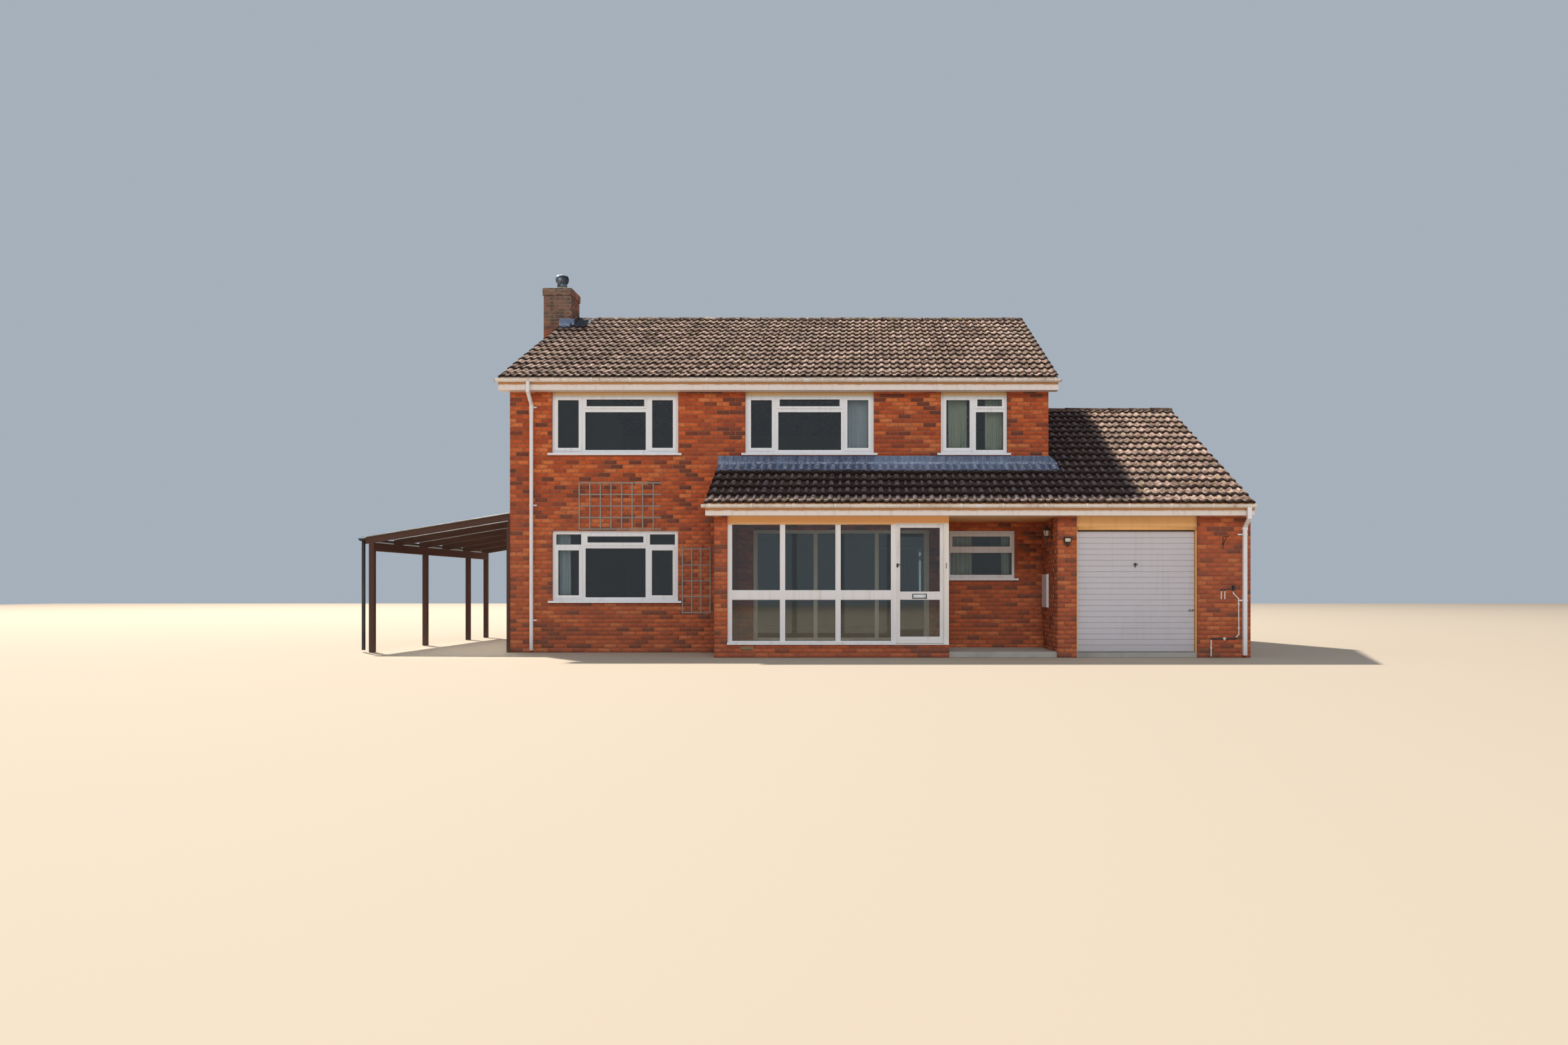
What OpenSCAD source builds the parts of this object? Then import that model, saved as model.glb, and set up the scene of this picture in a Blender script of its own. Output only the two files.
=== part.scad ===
// Detached brick house of two storeys with a gabled tiled roof, a lower roof
// over a glazed porch, an open recess and a garage, a gable chimney with a
// rotary cowl, and a lean-to carport.
// Millimetres. +X runs to the right along the front, +Y from the front to the
// back, +Z up. The origin is on the ground, in the middle of the main block.

/* [Main block] */
// Width of the two-storey block along the front
main_w = 9670; // [9400:10:9900]
// Depth of the two-storey block
main_d = 8600; // [8200:10:9000]
// Thickness of a cavity wall
wall_t = 280; // [250:5:300]
// Height of the ground floor above the ground
floor_z = 200; // [150:5:250]
// Height of the underside of the first floor
upper_floor_z = 2420; // [2400:10:2440]
// Thickness of the first floor
upper_floor_t = 220; // [200:10:240]

/* [Roofs] */
// Pitch of every tiled slope in degrees
pitch = 25; // [24:0.5:26]
// Height of the main soffit
soffit_z = 4680; // [4660:5:4700]
// Height of the main tiles at their lower edge
eaves_z = 4920; // [4900:5:4940]
// Distance of a fascia in front of its wall
fascia_out = 200; // [180:5:220]
// Distance of the lowest tile edge in front of the wall
tile_out = 250; // [240:5:270]
// Upright thickness of the tile layer
tile_drop = 33; // [25:1:40]
// Upright thickness of the whole slope, tiles and rafters
roof_drop = 110; // [100:5:130]
// Distance of the main tiles past a gable wall
verge_out = 140; // [130:5:150]
// Height of a bargeboard
barge_h = 150; // [120:5:180]

/* [Porch, recess and garage] */
// Distance of the porch and garage fronts ahead of the main front wall
wing_out = 1490; // [1450:10:1530]
// Height of the lower tiles at their lower edge
low_eaves_z = 2565; // [2550:5:2580]
// Height of the lower soffit and of the porch ceiling
low_soffit_z = 2350; // [2345:1:2355]
// Distance of the lower ridge behind the main front wall
low_ridge_in = 3250; // [3100:10:3400]
// Left face of the porch
porch_x0 = -963; // [-980:1:-950]
// Left face of the wall between the recess and the garage
recess_x1 = 4747; // [4740:1:4755]
// Right end of the garage at the party line
party_x = 7950; // [7900:10:8000]
// Thickness of a one-brick wall
brick_t = 215; // [200:5:225]

/* [Porch door] */
// Left edge of the porch door leaf
door_x0 = 2055; // [2054:1:2058]
// Width of the porch door leaf
door_w = 809; // [800:1:809]
// Height of the porch door leaf
door_h = 2000; // [1980:1:2001]
// Thickness of the porch door leaf
door_t = 44; // [40:1:46]

/* [Garage door] */
// Left side of the garage doorway
gdoor_x0 = 5060; // [5050:1:5070]
// Width of the garage doorway
gdoor_w = 2009; // [2000:1:2015]
// Height of the garage door panel
gpanel_h = 2005; // [1990:1:2008]
// Upright distance of the ribs in the panel
rib_pitch = 94.5; // [90:0.5:100]
// Height of the roller spindle above the panel's lower edge
spindle_up = 700; // [650:10:740]

/* [Chimney] */
// Width of the stack across the front
stack_w = 580; // [560:10:600]
// Depth of the stack
stack_d = 670; // [640:10:700]
// Height of the top of the stack
stack_z = 7530; // [7480:10:7600]
// Diameter of the rotary cowl
cowl_dia = 276; // [260:2:280]
// Number of blades round the rotary cowl
cowl_blades = 20; // [16:1:22]

/* [Carport] */
// Reach of the carport from the left gable to the outer edge of its rafters
carport_w = 2600; // [2500:10:2700]
// Length of the carport from the front wall to its last rafter
carport_l = 6000; // [5400:60:6000]
// Height of the rafters' top edge at the wall
carport_z = 2500; // [2480:5:2520]
// Slope of the rafters in degrees
carport_fall = 9.4; // [8:0.1:10]

/* [Hidden] */
$fn = 48;
front = -main_d / 2;
back = main_d / 2;
left = -main_w / 2;
right = main_w / 2;
rise = tan(pitch);
gap = 5;
// Play under a sloping face that lies on another
nip = 0.05;

ridge_z = eaves_z + (main_d / 2 + tile_out) * rise;
wing_y = front - wing_out;
low_ridge_y = front + low_ridge_in;
low_ridge_z = low_eaves_z + (low_ridge_in + wing_out + tile_out) * rise;
wing_back = 2 * low_ridge_y - wing_y;

barge_t = 20;
board_t = 20;
box_end = 40;
main_struct_x = right + verge_out - 30;
low_verge_x = porch_x0 - 137;
low_struct_x = low_verge_x + 35;

// Window frames
bar = 45;
sash = 55;
bead = 18;
mull = 42;
sash_out = 14;
frame_d = 70;
pane_t = 20;
sill_t = 36;
sill_out = 50;
sill_horn = 65;
reveal = 40;
light_top = 210;

// Upper windows: left edge, width, kind, as seen from outside
up_sill = 3578;
up_h = 1060;
upper_row = [[-4085, 2270, 3], [-609, 2310, 3], [2906, 1190, 2]];
// Lower front window, left edge, width, lower edge and height
low_win = [-4080, 2262, 925, 1260];
// Recess window
rec_win = [3030, 1202, 1330, 852];
// Windows of the back wall
back_upper = [[-4085, 2270, 3], [-700, 1190, 2], [1775, 2310, 3]];
back_lower = [[-4080, 2262], [1815, 2262]];

// Glazed hall screen in the main wall behind the porch
hall_x = [-470, 2700];
hall_z1 = 2200;
hall_posts = [-430, 650, 1755, 2640];

// Porch screen of white timber
screen_y = wing_y + 45;
screen_d = 70;
post_w = 60;
screen_x = [porch_x0 + brick_t - 2, 2940];
screen_mull = [168, 1093, 2018];
dwarf_z = 212;
dwarf_t = 155;
return_t = 60;
sill_z = 250;
mid_rail = [972, 1106];
screen_top = 2261;
door_x1 = door_x0 + door_w;
door_z0 = floor_z + 35;
door_y1 = screen_y + screen_d;
door_y0 = door_y1 - door_t;

// Garage door gear
gdoor_x1 = gdoor_x0 + gdoor_w;
gfloor_z = 85;
header_z0 = 2119;
header_y = wing_y + 40;
header_t = 50;
jamb_w = 20;
jamb_d = 130;
gpanel_x = [gdoor_x0 + jamb_w + 6, gdoor_x1 - jamb_w - 6];
gpanel_z0 = gfloor_z + 10;
gpanel_y0 = header_y + header_t + 10;
gpanel_t = 40;
skin_t = 14;
spindle_y = gpanel_y0 + 90;
spindle_z = gpanel_z0 + spindle_up;
spindle_r = 6;
track_d = 40;
track_z1 = 2110;

// Chimney
stack_x = left - 455;
stack_y = front + 3645;
stack_base_z = 6500;
corbel = 18;
corbel_h = 150;
pot_x = stack_x + stack_w / 2 + 10;
pot_y = stack_y + stack_d / 2;
pot_h = 110;
cowl_z = stack_z + pot_h + 10;
cowl_h = 262;
vane_arc = 16;
vane_lean = 26;
vane_twist = 22;
vane_t = 2.5;

// Carport
rafter_n = 6;
rafter_w = 45;
rafter_h = 120;
rafter_pitch = carport_l / (rafter_n - 1);
post_s = 90;
beam_h = 150;
plate_t = 40;
sheet_t = 18;
outer_x = left - carport_w;
post_x = outer_x + 60;

// Gutters and pipes
gutter_r = 56;
gutter_wall = 4;
pipe_r = 34;

brick = "#a5502f";
white = "#e8e6e0";
cream = "#dcb878";
tile = "#6f625a";
lead = "#8c97a8";
glass_blue = "#56646c";
black = "#26282a";
oak = "#4a382b";

// Height of the main tiles' top face, and of a slope's underside, at depth y
function main_top(y) = ridge_z - abs(y) * rise;
function low_top(y) = low_ridge_z - abs(y - low_ridge_y) * rise;

module box(lo, hi) {
    translate(lo) cube(hi - lo);
}

// Carries a profile drawn in y and z along the house from x0 to x1
module run_x(x0, x1) {
    translate([x0, 0, 0]) rotate([90, 0, 90]) linear_extrude(height = x1 - x0) children();
}

// Carries a profile drawn in x and z back from y0 by a length
module run_y(y0, length) {
    translate([0, y0 + length, 0]) rotate([90, 0, 0]) linear_extrude(height = length) children();
}

// One sloping layer between two depths, measured down from a ridge
module layer(y0, y1, peak_y, peak_z, top, under) {
    z0 = peak_z - abs(y0 - peak_y) * rise;
    z1 = peak_z - abs(y1 - peak_y) * rise;
    polygon([[y0, z0 - under], [y1, z1 - under], [y1, z1 - top], [y0, z0 - top]]);
}

// A wall running front to back whose top meets the underside of a roof
module gable_profile(y0, y1, peak_y, peak_z) {
    z0 = peak_z - abs(y0 - peak_y) * rise - roof_drop - nip;
    z1 = peak_z - abs(y1 - peak_y) * rise - roof_drop - nip;
    peak = y0 < peak_y && y1 > peak_y ? [[peak_y, peak_z - roof_drop - nip]] : [];
    polygon(concat([[y1, z1]], peak, [[y0, z0], [y0, 0], [y1, 0]]));
}

// A pipe through a list of points, with a collar at every bend
module pipe(points, r) {
    for (i = [0 : len(points) - 2]) {
        step = points[i + 1] - points[i];
        turn = atan2(step[1], step[0]);
        lean = acos(step[2] / norm(step));
        translate(points[i]) rotate([0, lean, turn]) cylinder(r = r, h = norm(step));
    }
    for (i = [1 : len(points) - 2]) translate(points[i]) sphere(r = r + 4);
}

// Window parts. A frame is drawn in x and z, with y = 0 at its front face.
// Each light is [x0, z0, x1, z1, width of its ring, how far the ring stands out].
function light3(w, h) = let (side = 485, mid = w - 2 * bar - 2 * side - 2 * mull) [
    [bar, bar, bar + side, h - bar, sash, sash_out],
    [bar + side + mull, bar, bar + side + mull + mid, h - bar - light_top - mull, bead, 0],
    [bar + side + mull, h - bar - light_top, bar + side + mull + mid, h - bar, sash - 12, sash_out],
    [w - bar - side, bar, w - bar, h - bar, sash, sash_out]];
function light2(w, h) = let (half = (w - 2 * bar - mull) / 2) [
    [bar, bar, bar + half, h - bar, sash, sash_out],
    [bar + half + mull, bar, w - bar, h - bar - light_top - mull, bead, 0],
    [bar + half + mull, h - bar - light_top, w - bar, h - bar, sash - 12, sash_out]];
function light6(w, h) = let (side = 485, mid = w - 2 * bar - 2 * side - 2 * mull) [
    for (x = [bar, w - bar - side]) each [
        [x, bar, x + side, h - bar - light_top - mull, sash, sash_out],
        [x, h - bar - light_top - 10, x + side, h - bar, bead, 0]],
    [bar + side + mull, bar, bar + side + mull + mid, h - bar - light_top - mull, bead, 0],
    [bar + side + mull, h - bar - light_top - 10, bar + side + mull + mid, h - bar,
        sash, sash_out]];
function light1(w, h) = [
    [bar - 15, bar, w - bar + 15, h - bar - 330, bead, 0],
    [bar - 15, h - bar - 290, w - bar + 15, h - bar, sash, sash_out]];
function lights_of(kind, w, h) = kind == 3 ? light3(w, h)
    : kind == 2 ? light2(w, h)
    : kind == 6 ? light6(w, h) : light1(w, h);

module window_frame(w, h, lights) {
    difference() {
        box([0, 0, 0], [w, frame_d, h]);
        for (l = lights) box([l[0], -1, l[1]], [l[2], frame_d + 1, l[3]]);
    }
    for (l = lights) difference() {
        box([l[0], -l[5], l[1]], [l[2], frame_d - 10, l[3]]);
        box([l[0] + l[4], -l[5] - 1, l[1] + l[4]], [l[2] - l[4], frame_d, l[3] - l[4]]);
    }
}

module window_panes(lights) {
    for (l = lights)
        box([l[0] + l[4], 26, l[1] + l[4]], [l[2] - l[4], 26 + pane_t, l[3] - l[4]]);
}

// Sill under a window whose frame is set back in the wall
module window_sill(w) {
    box([0, -reveal, -sill_t], [w, frame_d, 0]);
    box([-sill_horn, -reveal - sill_out, -sill_t], [w + sill_horn, -reveal, 0]);
}

module at_front(x, z) {
    translate([x, front + reveal, z]) children();
}

module at_back(x, z) {
    translate([-x, back - reveal, z]) rotate([0, 0, 180]) children();
}

// Wall openings, cut right through
module hole(y0, y1, x, z, w, h) {
    box([x, y0, z - sill_t], [x + w, y1, z + h]);
}

module ground_floor() color("silver") {
    box([left + wall_t, front + wall_t, 0], [right - wall_t, back - wall_t, floor_z]);
}

module first_floor() color("tan") {
    box([left + wall_t, front + wall_t, upper_floor_z],
        [right - wall_t, back - wall_t, upper_floor_z + upper_floor_t]);
}

module long_wall_profile() {
    polygon([[front, 0], [front + wall_t, 0],
        [front + wall_t, main_top(front + wall_t) - roof_drop - nip],
        [front, main_top(front) - roof_drop - nip]]);
}

module front_wall() color(brick) {
    y0 = front - 1;
    y1 = front + wall_t + 1;
    difference() {
        run_x(left, right) long_wall_profile();
        for (u = upper_row) hole(y0, y1, u[0], up_sill, u[1], soffit_z - up_sill);
        hole(y0, y1, low_win[0], low_win[2], low_win[1], low_win[3]);
        hole(y0, y1, rec_win[0], rec_win[2], rec_win[1], rec_win[3]);
        box([hall_x[0], y0, floor_z], [hall_x[1], y1, hall_z1]);
    }
}

module back_wall() color(brick) {
    y0 = back - wall_t - 1;
    y1 = back + 1;
    difference() {
        mirror([0, 1, 0]) run_x(left, right) long_wall_profile();
        for (u = back_upper) hole(y0, y1, u[0], up_sill, u[1], soffit_z - up_sill);
        for (u = back_lower) hole(y0, y1, u[0], low_win[2], u[1], low_win[3]);
    }
}

module left_gable() color(brick) {
    difference() {
        run_x(left, left + wall_t) gable_profile(front + wall_t, back - wall_t, 0, ridge_z);
        box([left - 1, stack_y - corbel, stack_base_z],
            [left + wall_t + 1, stack_y + stack_d + corbel, ridge_z]);
    }
}

module right_gable() color(brick) {
    run_x(right - wall_t, right) gable_profile(front + wall_t, back - wall_t, 0, ridge_z);
}

module chimney_breast() color(brick) {
    box([stack_x, stack_y, 0], [left, stack_y + stack_d, stack_base_z]);
}

module chimney_stack() color(brick) {
    box([stack_x, stack_y, stack_base_z],
        [stack_x + stack_w, stack_y + stack_d, stack_z - corbel_h]);
    box([stack_x - corbel, stack_y - corbel, stack_z - corbel_h],
        [stack_x + stack_w + corbel, stack_y + stack_d + corbel, stack_z]);
}

// Clay pot with the fixed rod that the cowl turns on
module chimney_pot() color("#cfc6b4") {
    translate([pot_x, pot_y, stack_z]) {
        rotate_extrude() polygon([[72, 0], [105, 0], [98, 30], [92, pot_h - 20],
            [98, pot_h - 12], [98, pot_h], [72, pot_h]]);
        box([-74, -10, pot_h - 40], [74, 10, pot_h - 20]);
        translate([0, 0, pot_h - 21]) cylinder(r = 9, h = 220);
    }
}

// One vane: a slice of a thin globe that leans along the turn, its front edge standing out
module cowl_vane(r) {
    translate([r, 0, 0]) rotate([0, 0, vane_twist]) translate([-r, 0, 0])
        rotate([vane_lean, 0, 0]) rotate([0, 0, -vane_arc / 2])
            rotate_extrude(angle = vane_arc) intersection() {
                difference() {
                    circle(r = r);
                    circle(r = r - vane_t);
                }
                translate([0, -0.84 * r]) square([r, 1.68 * r]);
            }
}

module rotary_cowl() color("#8b9094") {
    r = cowl_dia / 2 - 8;
    translate([pot_x, pot_y, cowl_z]) {
        // Base ring with a rim that holds the vanes' feet
        rotate_extrude() polygon([[62, 0], [r - 22, 0], [r - 22, 12], [r - 28, 50],
            [r - 48, 50], [62, 14]]);
        translate([0, 0, cowl_h / 2 + 2]) for (i = [0 : cowl_blades - 1])
            rotate([0, 0, i * 360 / cowl_blades]) cowl_vane(r);
        // Cap over the vanes
        translate([0, 0, cowl_h]) rotate_extrude() polygon([[0, -6], [40, -14], [r - 50, -50],
            [r - 26, -50], [r - 20, -40], [r - 22, -34], [44, -3], [0, 0]]);
        for (a = [0, 120, 240]) rotate([0, 0, a]) box([10, -5, 2], [90, 5, 14]);
        difference() {
            cylinder(r = 15, h = cowl_h - 8);
            translate([0, 0, -1]) cylinder(r = 10, h = cowl_h - 30);
        }
    }
}

// One main slope: rafters and battens, and the tile layer that laps past them
module main_slope() {
    edge = main_d / 2;
    run_x(left - verge_out, right + verge_out)
        layer(-edge - tile_out, 0, 0, ridge_z, 0, tile_drop);
    run_x(-main_struct_x, main_struct_x)
        layer(-edge - fascia_out + board_t, 0, 0, ridge_z, tile_drop, roof_drop);
}

module stack_cut() {
    box([left - 400, stack_y - 8, stack_base_z - 1500],
        [stack_x + stack_w + 8, stack_y + stack_d + 8, ridge_z + 100]);
}

module front_roof_slope() color(tile) {
    difference() {
        main_slope();
        stack_cut();
    }
}

module back_roof_slope() color(tile) {
    difference() {
        mirror([0, 1, 0]) main_slope();
        stack_cut();
    }
}

module half_round(r, t) {
    intersection() {
        difference() {
            circle(r = r);
            circle(r = r - t);
        }
        translate([-r, 0]) square([2 * r, r]);
    }
}

module ridge_tiles() color(tile) {
    r = 125;
    t = 20;
    difference() {
        run_x(left - verge_out, right + verge_out)
            translate([0, ridge_z - (r - t) * rise]) half_round(r, t);
        stack_cut();
    }
    run_x(right, party_x)
        translate([low_ridge_y, low_ridge_z - (r - t) * rise]) half_round(r, t);
}

// Boards at the verges, under the tile layer
module barge_pair(x0, x1) {
    for (side = [0, 1]) mirror([0, side, 0])
        run_x(x0, x1) layer(front, 0, 0, ridge_z, tile_drop + nip, tile_drop + barge_h);
}

module bargeboards() color(white) {
    difference() {
        barge_pair(-main_struct_x - barge_t, -main_struct_x);
        stack_cut();
    }
    barge_pair(main_struct_x, main_struct_x + barge_t);
    run_x(low_struct_x - barge_t, low_struct_x)
        layer(wing_y, front, low_ridge_y, low_ridge_z, tile_drop + nip, tile_drop + barge_h);
}

// Boxed eaves: a fascia and a soffit closed at both ends
module eaves_profile(wall_y, peak_y, peak_z, z0, full) {
    f = wall_y - fascia_out;
    b = f + board_t;
    under = (full ? tile_drop : roof_drop) + nip;
    polygon([[f, z0], [wall_y, z0],
        [wall_y, peak_z - (peak_y - wall_y) * rise - under],
        [b, peak_z - (peak_y - b) * rise - under],
        [b, peak_z - (peak_y - b) * rise - tile_drop - nip],
        [f, peak_z - (peak_y - f) * rise - tile_drop - nip]]);
}

module main_eaves() {
    run_x(-main_struct_x, main_struct_x) eaves_profile(front, 0, ridge_z, soffit_z, false);
    for (s = [0, 1]) mirror([s, 0, 0])
        run_x(main_struct_x, main_struct_x + box_end)
            eaves_profile(front, 0, ridge_z, soffit_z, true);
}

module eaves_boards() color(white) {
    main_eaves();
    mirror([0, 1, 0]) main_eaves();
    run_x(low_struct_x, party_x)
        eaves_profile(wing_y, low_ridge_y, low_ridge_z, low_soffit_z, false);
    run_x(low_struct_x - barge_t, low_struct_x)
        eaves_profile(wing_y, low_ridge_y, low_ridge_z, low_soffit_z, true);
    translate([0, 2 * low_ridge_y, 0]) mirror([0, 1, 0]) run_x(right, party_x)
        eaves_profile(wing_y, low_ridge_y, low_ridge_z, low_soffit_z, false);
    // Beam that carries the lower rafters over the porch and the recess
    run_x(porch_x0 + brick_t, recess_x1) polygon([
        [wing_y, low_soffit_z], [wing_y + 90, low_soffit_z],
        [wing_y + 90, low_top(wing_y + 90) - roof_drop - nip],
        [wing_y, low_top(wing_y) - roof_drop - nip]]);
}

module gutter_run(x0, x1, y, z) {
    run_x(x0, x1) translate([y, z]) rotate(180) half_round(gutter_r, gutter_wall);
    for (x = [x0, x1 - gutter_wall]) run_x(x, x + gutter_wall)
        translate([y, z]) intersection() {
            circle(r = gutter_r);
            translate([-gutter_r, -gutter_r]) square([2 * gutter_r, gutter_r]);
        }
}

gutter_y = front - fascia_out - gutter_r;
gutter_z = eaves_z - tile_drop - 20;
low_gutter_y = wing_y - fascia_out - gutter_r;
low_gutter_z = low_eaves_z - tile_drop - 8;

module gutters() color(white) {
    main_end = right + verge_out + 45;
    gutter_run(-main_end, main_end, gutter_y, gutter_z);
    gutter_run(-main_end, main_end, -gutter_y, gutter_z);
    gutter_run(low_verge_x - 45, party_x, low_gutter_y, low_gutter_z);
    gutter_run(right, party_x, 2 * low_ridge_y - low_gutter_y, low_gutter_z);
}

// Room of the gutter that a pipe hangs from
module gutter_room(x, y, z) {
    run_x(x - 60, x + 60) translate([y, z]) circle(r = gutter_r + nip);
}

module downpipes() color(white) {
    x = -4440;
    difference() {
        pipe([[x, gutter_y, gutter_z - gutter_r + 12], [x, gutter_y, soffit_z - 30],
            [x, front - 45, soffit_z - 240], [x, front - 45, 40]], pipe_r);
        gutter_room(x, gutter_y, gutter_z);
    }
    // Square pipe of the lower gutter
    sx = party_x - 110;
    s = 33;
    low_pipe_y = wing_y - 42;
    difference() {
        box([sx - s, low_gutter_y - s, low_soffit_z - 60],
            [sx + s, low_gutter_y + s, low_gutter_z - gutter_r + 12]);
        gutter_room(sx, low_gutter_y, low_gutter_z);
    }
    run_x(sx - s, sx + s) polygon([
        [low_gutter_y - s, low_soffit_z - 60], [low_gutter_y + s, low_soffit_z - 60],
        [low_pipe_y + s, low_soffit_z - 190], [low_pipe_y - s, low_soffit_z - 190]]);
    box([sx - s, low_pipe_y - s, 40], [sx + s, low_pipe_y + s, low_soffit_z - 190]);
}

module lead_flashing() color(lead) {
    t = 6;
    up = 165;
    lap = 110;
    // Against the main front wall, dressed down over the lower tiles
    run_x(low_verge_x, right) polygon([
        [front - t, low_top(front - t) + nip], [front, low_top(front) + nip],
        [front, low_top(front) + up], [front - t, low_top(front) + up],
        [front - t, low_top(front - t) + t], [front - lap, low_top(front - lap) + t],
        [front - lap, low_top(front - lap) + nip]]);
    // Up the side of the main block along both lower slopes
    for (y = [[front, low_ridge_y - 130], [low_ridge_y + 130, wing_back]])
        run_x(right, right + t) polygon([[y[0], low_top(y[0]) + nip], [y[1], low_top(y[1]) + nip],
            [y[1], low_top(y[1]) + up], [y[0], low_top(y[0]) + up]]);
    // Apron in front of the stack
    a = stack_y - corbel;
    run_x(left - verge_out + 10, stack_x + stack_w + 90) polygon([
        [a - 150, main_top(a - 150) + nip], [a - 2, main_top(a - 2) + nip],
        [a - 2, main_top(a - 2) + t], [a - 150, main_top(a - 150) + t]]);
}

module front_windows() color(white) {
    for (u = upper_row) at_front(u[0], up_sill) {
        window_frame(u[1], up_h, lights_of(u[2], u[1], up_h));
        window_sill(u[1]);
        // Vented board that closes the gap under the soffit
        box([0, 0, up_h], [u[1], frame_d, soffit_z - up_sill]);
    }
    at_front(low_win[0], low_win[2]) {
        window_frame(low_win[1], low_win[3], light6(low_win[1], low_win[3]));
        window_sill(low_win[1]);
    }
    at_front(rec_win[0], rec_win[2]) {
        window_frame(rec_win[1], rec_win[3], light1(rec_win[1], rec_win[3]));
        window_sill(rec_win[1]);
    }
}

module front_glass() color(glass_blue, 0.4) {
    for (u = upper_row) at_front(u[0], up_sill)
        window_panes(lights_of(u[2], u[1], up_h));
    at_front(low_win[0], low_win[2]) window_panes(light6(low_win[1], low_win[3]));
    at_front(rec_win[0], rec_win[2]) window_panes(light1(rec_win[1], rec_win[3]));
}

module back_windows() color(white) {
    for (u = back_upper) at_back(-u[0] - u[1], up_sill) {
        window_frame(u[1], up_h, lights_of(u[2], u[1], up_h));
        window_sill(u[1]);
        box([0, 0, up_h], [u[1], frame_d, soffit_z - up_sill]);
    }
    for (u = back_lower) at_back(-u[0] - u[1], low_win[2]) {
        window_frame(u[1], low_win[3], light6(u[1], low_win[3]));
        window_sill(u[1]);
    }
}

module back_glass() color(glass_blue, 0.4) {
    for (u = back_upper) at_back(-u[0] - u[1], up_sill)
        window_panes(lights_of(u[2], u[1], up_h));
    for (u = back_lower) at_back(-u[0] - u[1], low_win[2])
        window_panes(light6(u[1], low_win[3]));
}

// Glazed screen between the hall and the porch
hall_y = front + 90;
module hall_bays(y0, y1, grow) {
    z = [floor_z + 60, 950, 1030, hall_z1 - 60];
    for (i = [0 : 2]) for (r = [0, 2])
        box([hall_posts[i] + 35 - grow, y0, z[r] - grow],
            [hall_posts[i + 1] - 35 + grow, y1, z[r + 1] + grow]);
}

module hall_screen() color(white) {
    difference() {
        box([hall_x[0], hall_y, floor_z], [hall_x[1], hall_y + frame_d, hall_z1]);
        hall_bays(hall_y - 1, hall_y + frame_d + 1, 0);
    }
}

module porch_floor() color("silver") {
    box([porch_x0 + brick_t, wing_y + dwarf_t, 0], [screen_x[1] - return_t, front, floor_z]);
    // Paved step of the recess
    box([screen_x[1], wing_y + 60, 0], [recess_x1, front, 90]);
}

module porch_wall() color(brick) {
    run_x(porch_x0, porch_x0 + brick_t)
        gable_profile(wing_y, front, low_ridge_y, low_ridge_z);
    box([porch_x0 + brick_t, wing_y, 0], [screen_x[1], wing_y + dwarf_t, dwarf_z]);
}

// Openings of the fixed bays between the posts
module porch_bays(y0, y1, inset) {
    edges = concat([screen_x[0] + 28], screen_mull);
    for (i = [0 : 2]) for (z = [[sill_z + 10, mid_rail[0]], [mid_rail[1], screen_top - 34]])
        box([edges[i] + (i == 0 ? 35 : post_w / 2) + inset, y0, z[0] + inset],
            [edges[i + 1] - post_w / 2 - inset, y1, z[1] - inset]);
}

module porch_screen() color(white) {
    x0 = porch_x0 + brick_t;
    x1 = screen_mull[2] + post_w / 2;
    difference() {
        box([x0, screen_y, sill_z], [x1, screen_y + screen_d, screen_top]);
        porch_bays(screen_y - 1, screen_y + screen_d + 1, 0);
    }
    difference() {
        porch_bays(screen_y + 8, screen_y + screen_d - 12, 0);
        porch_bays(screen_y, screen_y + screen_d, 14);
    }
    box([x0, wing_y - 30, dwarf_z], [x1, wing_y + dwarf_t, sill_z]);
}

module porch_glass() color(glass_blue, 0.4) {
    hall_bays(hall_y + 28, hall_y + 36, 0);
    porch_bays(screen_y + 26, screen_y + 32, 14);
}

// Jambs, head and threshold round the porch door, and the board over the screen
module porch_door_frame() color(cream) {
    x0 = screen_mull[2] + post_w / 2;
    top = door_z0 + door_h + gap;
    box([door_x1 + gap, screen_y, door_z0 - gap], [screen_x[1], door_y1, screen_top]);
    box([screen_x[1] - return_t, door_y1, door_z0 - gap],
        [screen_x[1], wing_y + dwarf_t, screen_top]);
    box([x0, screen_y, top], [door_x1 + gap, door_y1, screen_top]);
    box([x0, wing_y - 20, dwarf_z], [screen_x[1], wing_y + dwarf_t, door_z0 - gap]);
    // Stops in front of the leaf
    box([x0, screen_y, door_z0 - gap], [x0 + 16, door_y0 - gap, top]);
    box([door_x1 - 10, screen_y, door_z0 - gap], [door_x1 + gap, door_y0 - gap, top]);
    box([x0 + 16, screen_y, top - 14], [door_x1 - 10, door_y0 - gap, top]);
    // Head board under the soffit
    box([porch_x0 + brick_t, screen_y - 18, screen_top],
        [screen_x[1], screen_y + 52, low_soffit_z]);
}

// Butt hinges on the inside of the leaf: the outer knuckles turn with it
hinge_at = [door_x1 + gap / 2, door_y1 + 6];
hinge_r = 6;
hinge_z = [door_z0 + 170, door_z0 + door_h / 2, door_z0 + door_h - 260];

module porch_door_hinges() color("gray") {
    for (z = hinge_z) {
        translate([hinge_at[0], hinge_at[1], z + 31]) cylinder(r = hinge_r, h = 28);
        box([door_x1 + gap, door_y1, z + 31], [door_x1 + gap + 10, door_y1 + 3, z + 59]);
    }
}

module hinge_leaves() {
    for (z = hinge_z) {
        for (k = [z, z + 60]) {
            translate([hinge_at[0], hinge_at[1], k]) cylinder(r = hinge_r, h = 30);
            box([door_x1 - 28, door_y1, k], [door_x1, door_y1 + 3, k + 30]);
        }
        box([door_x1 - 28, door_y1, z + 30], [door_x1 - 12, door_y1 + 3, z + 60]);
    }
}

module porch_return() color(white) {
    box([screen_x[1] - return_t, wing_y + dwarf_t, 0], [screen_x[1], front, low_soffit_z]);
}

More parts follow.
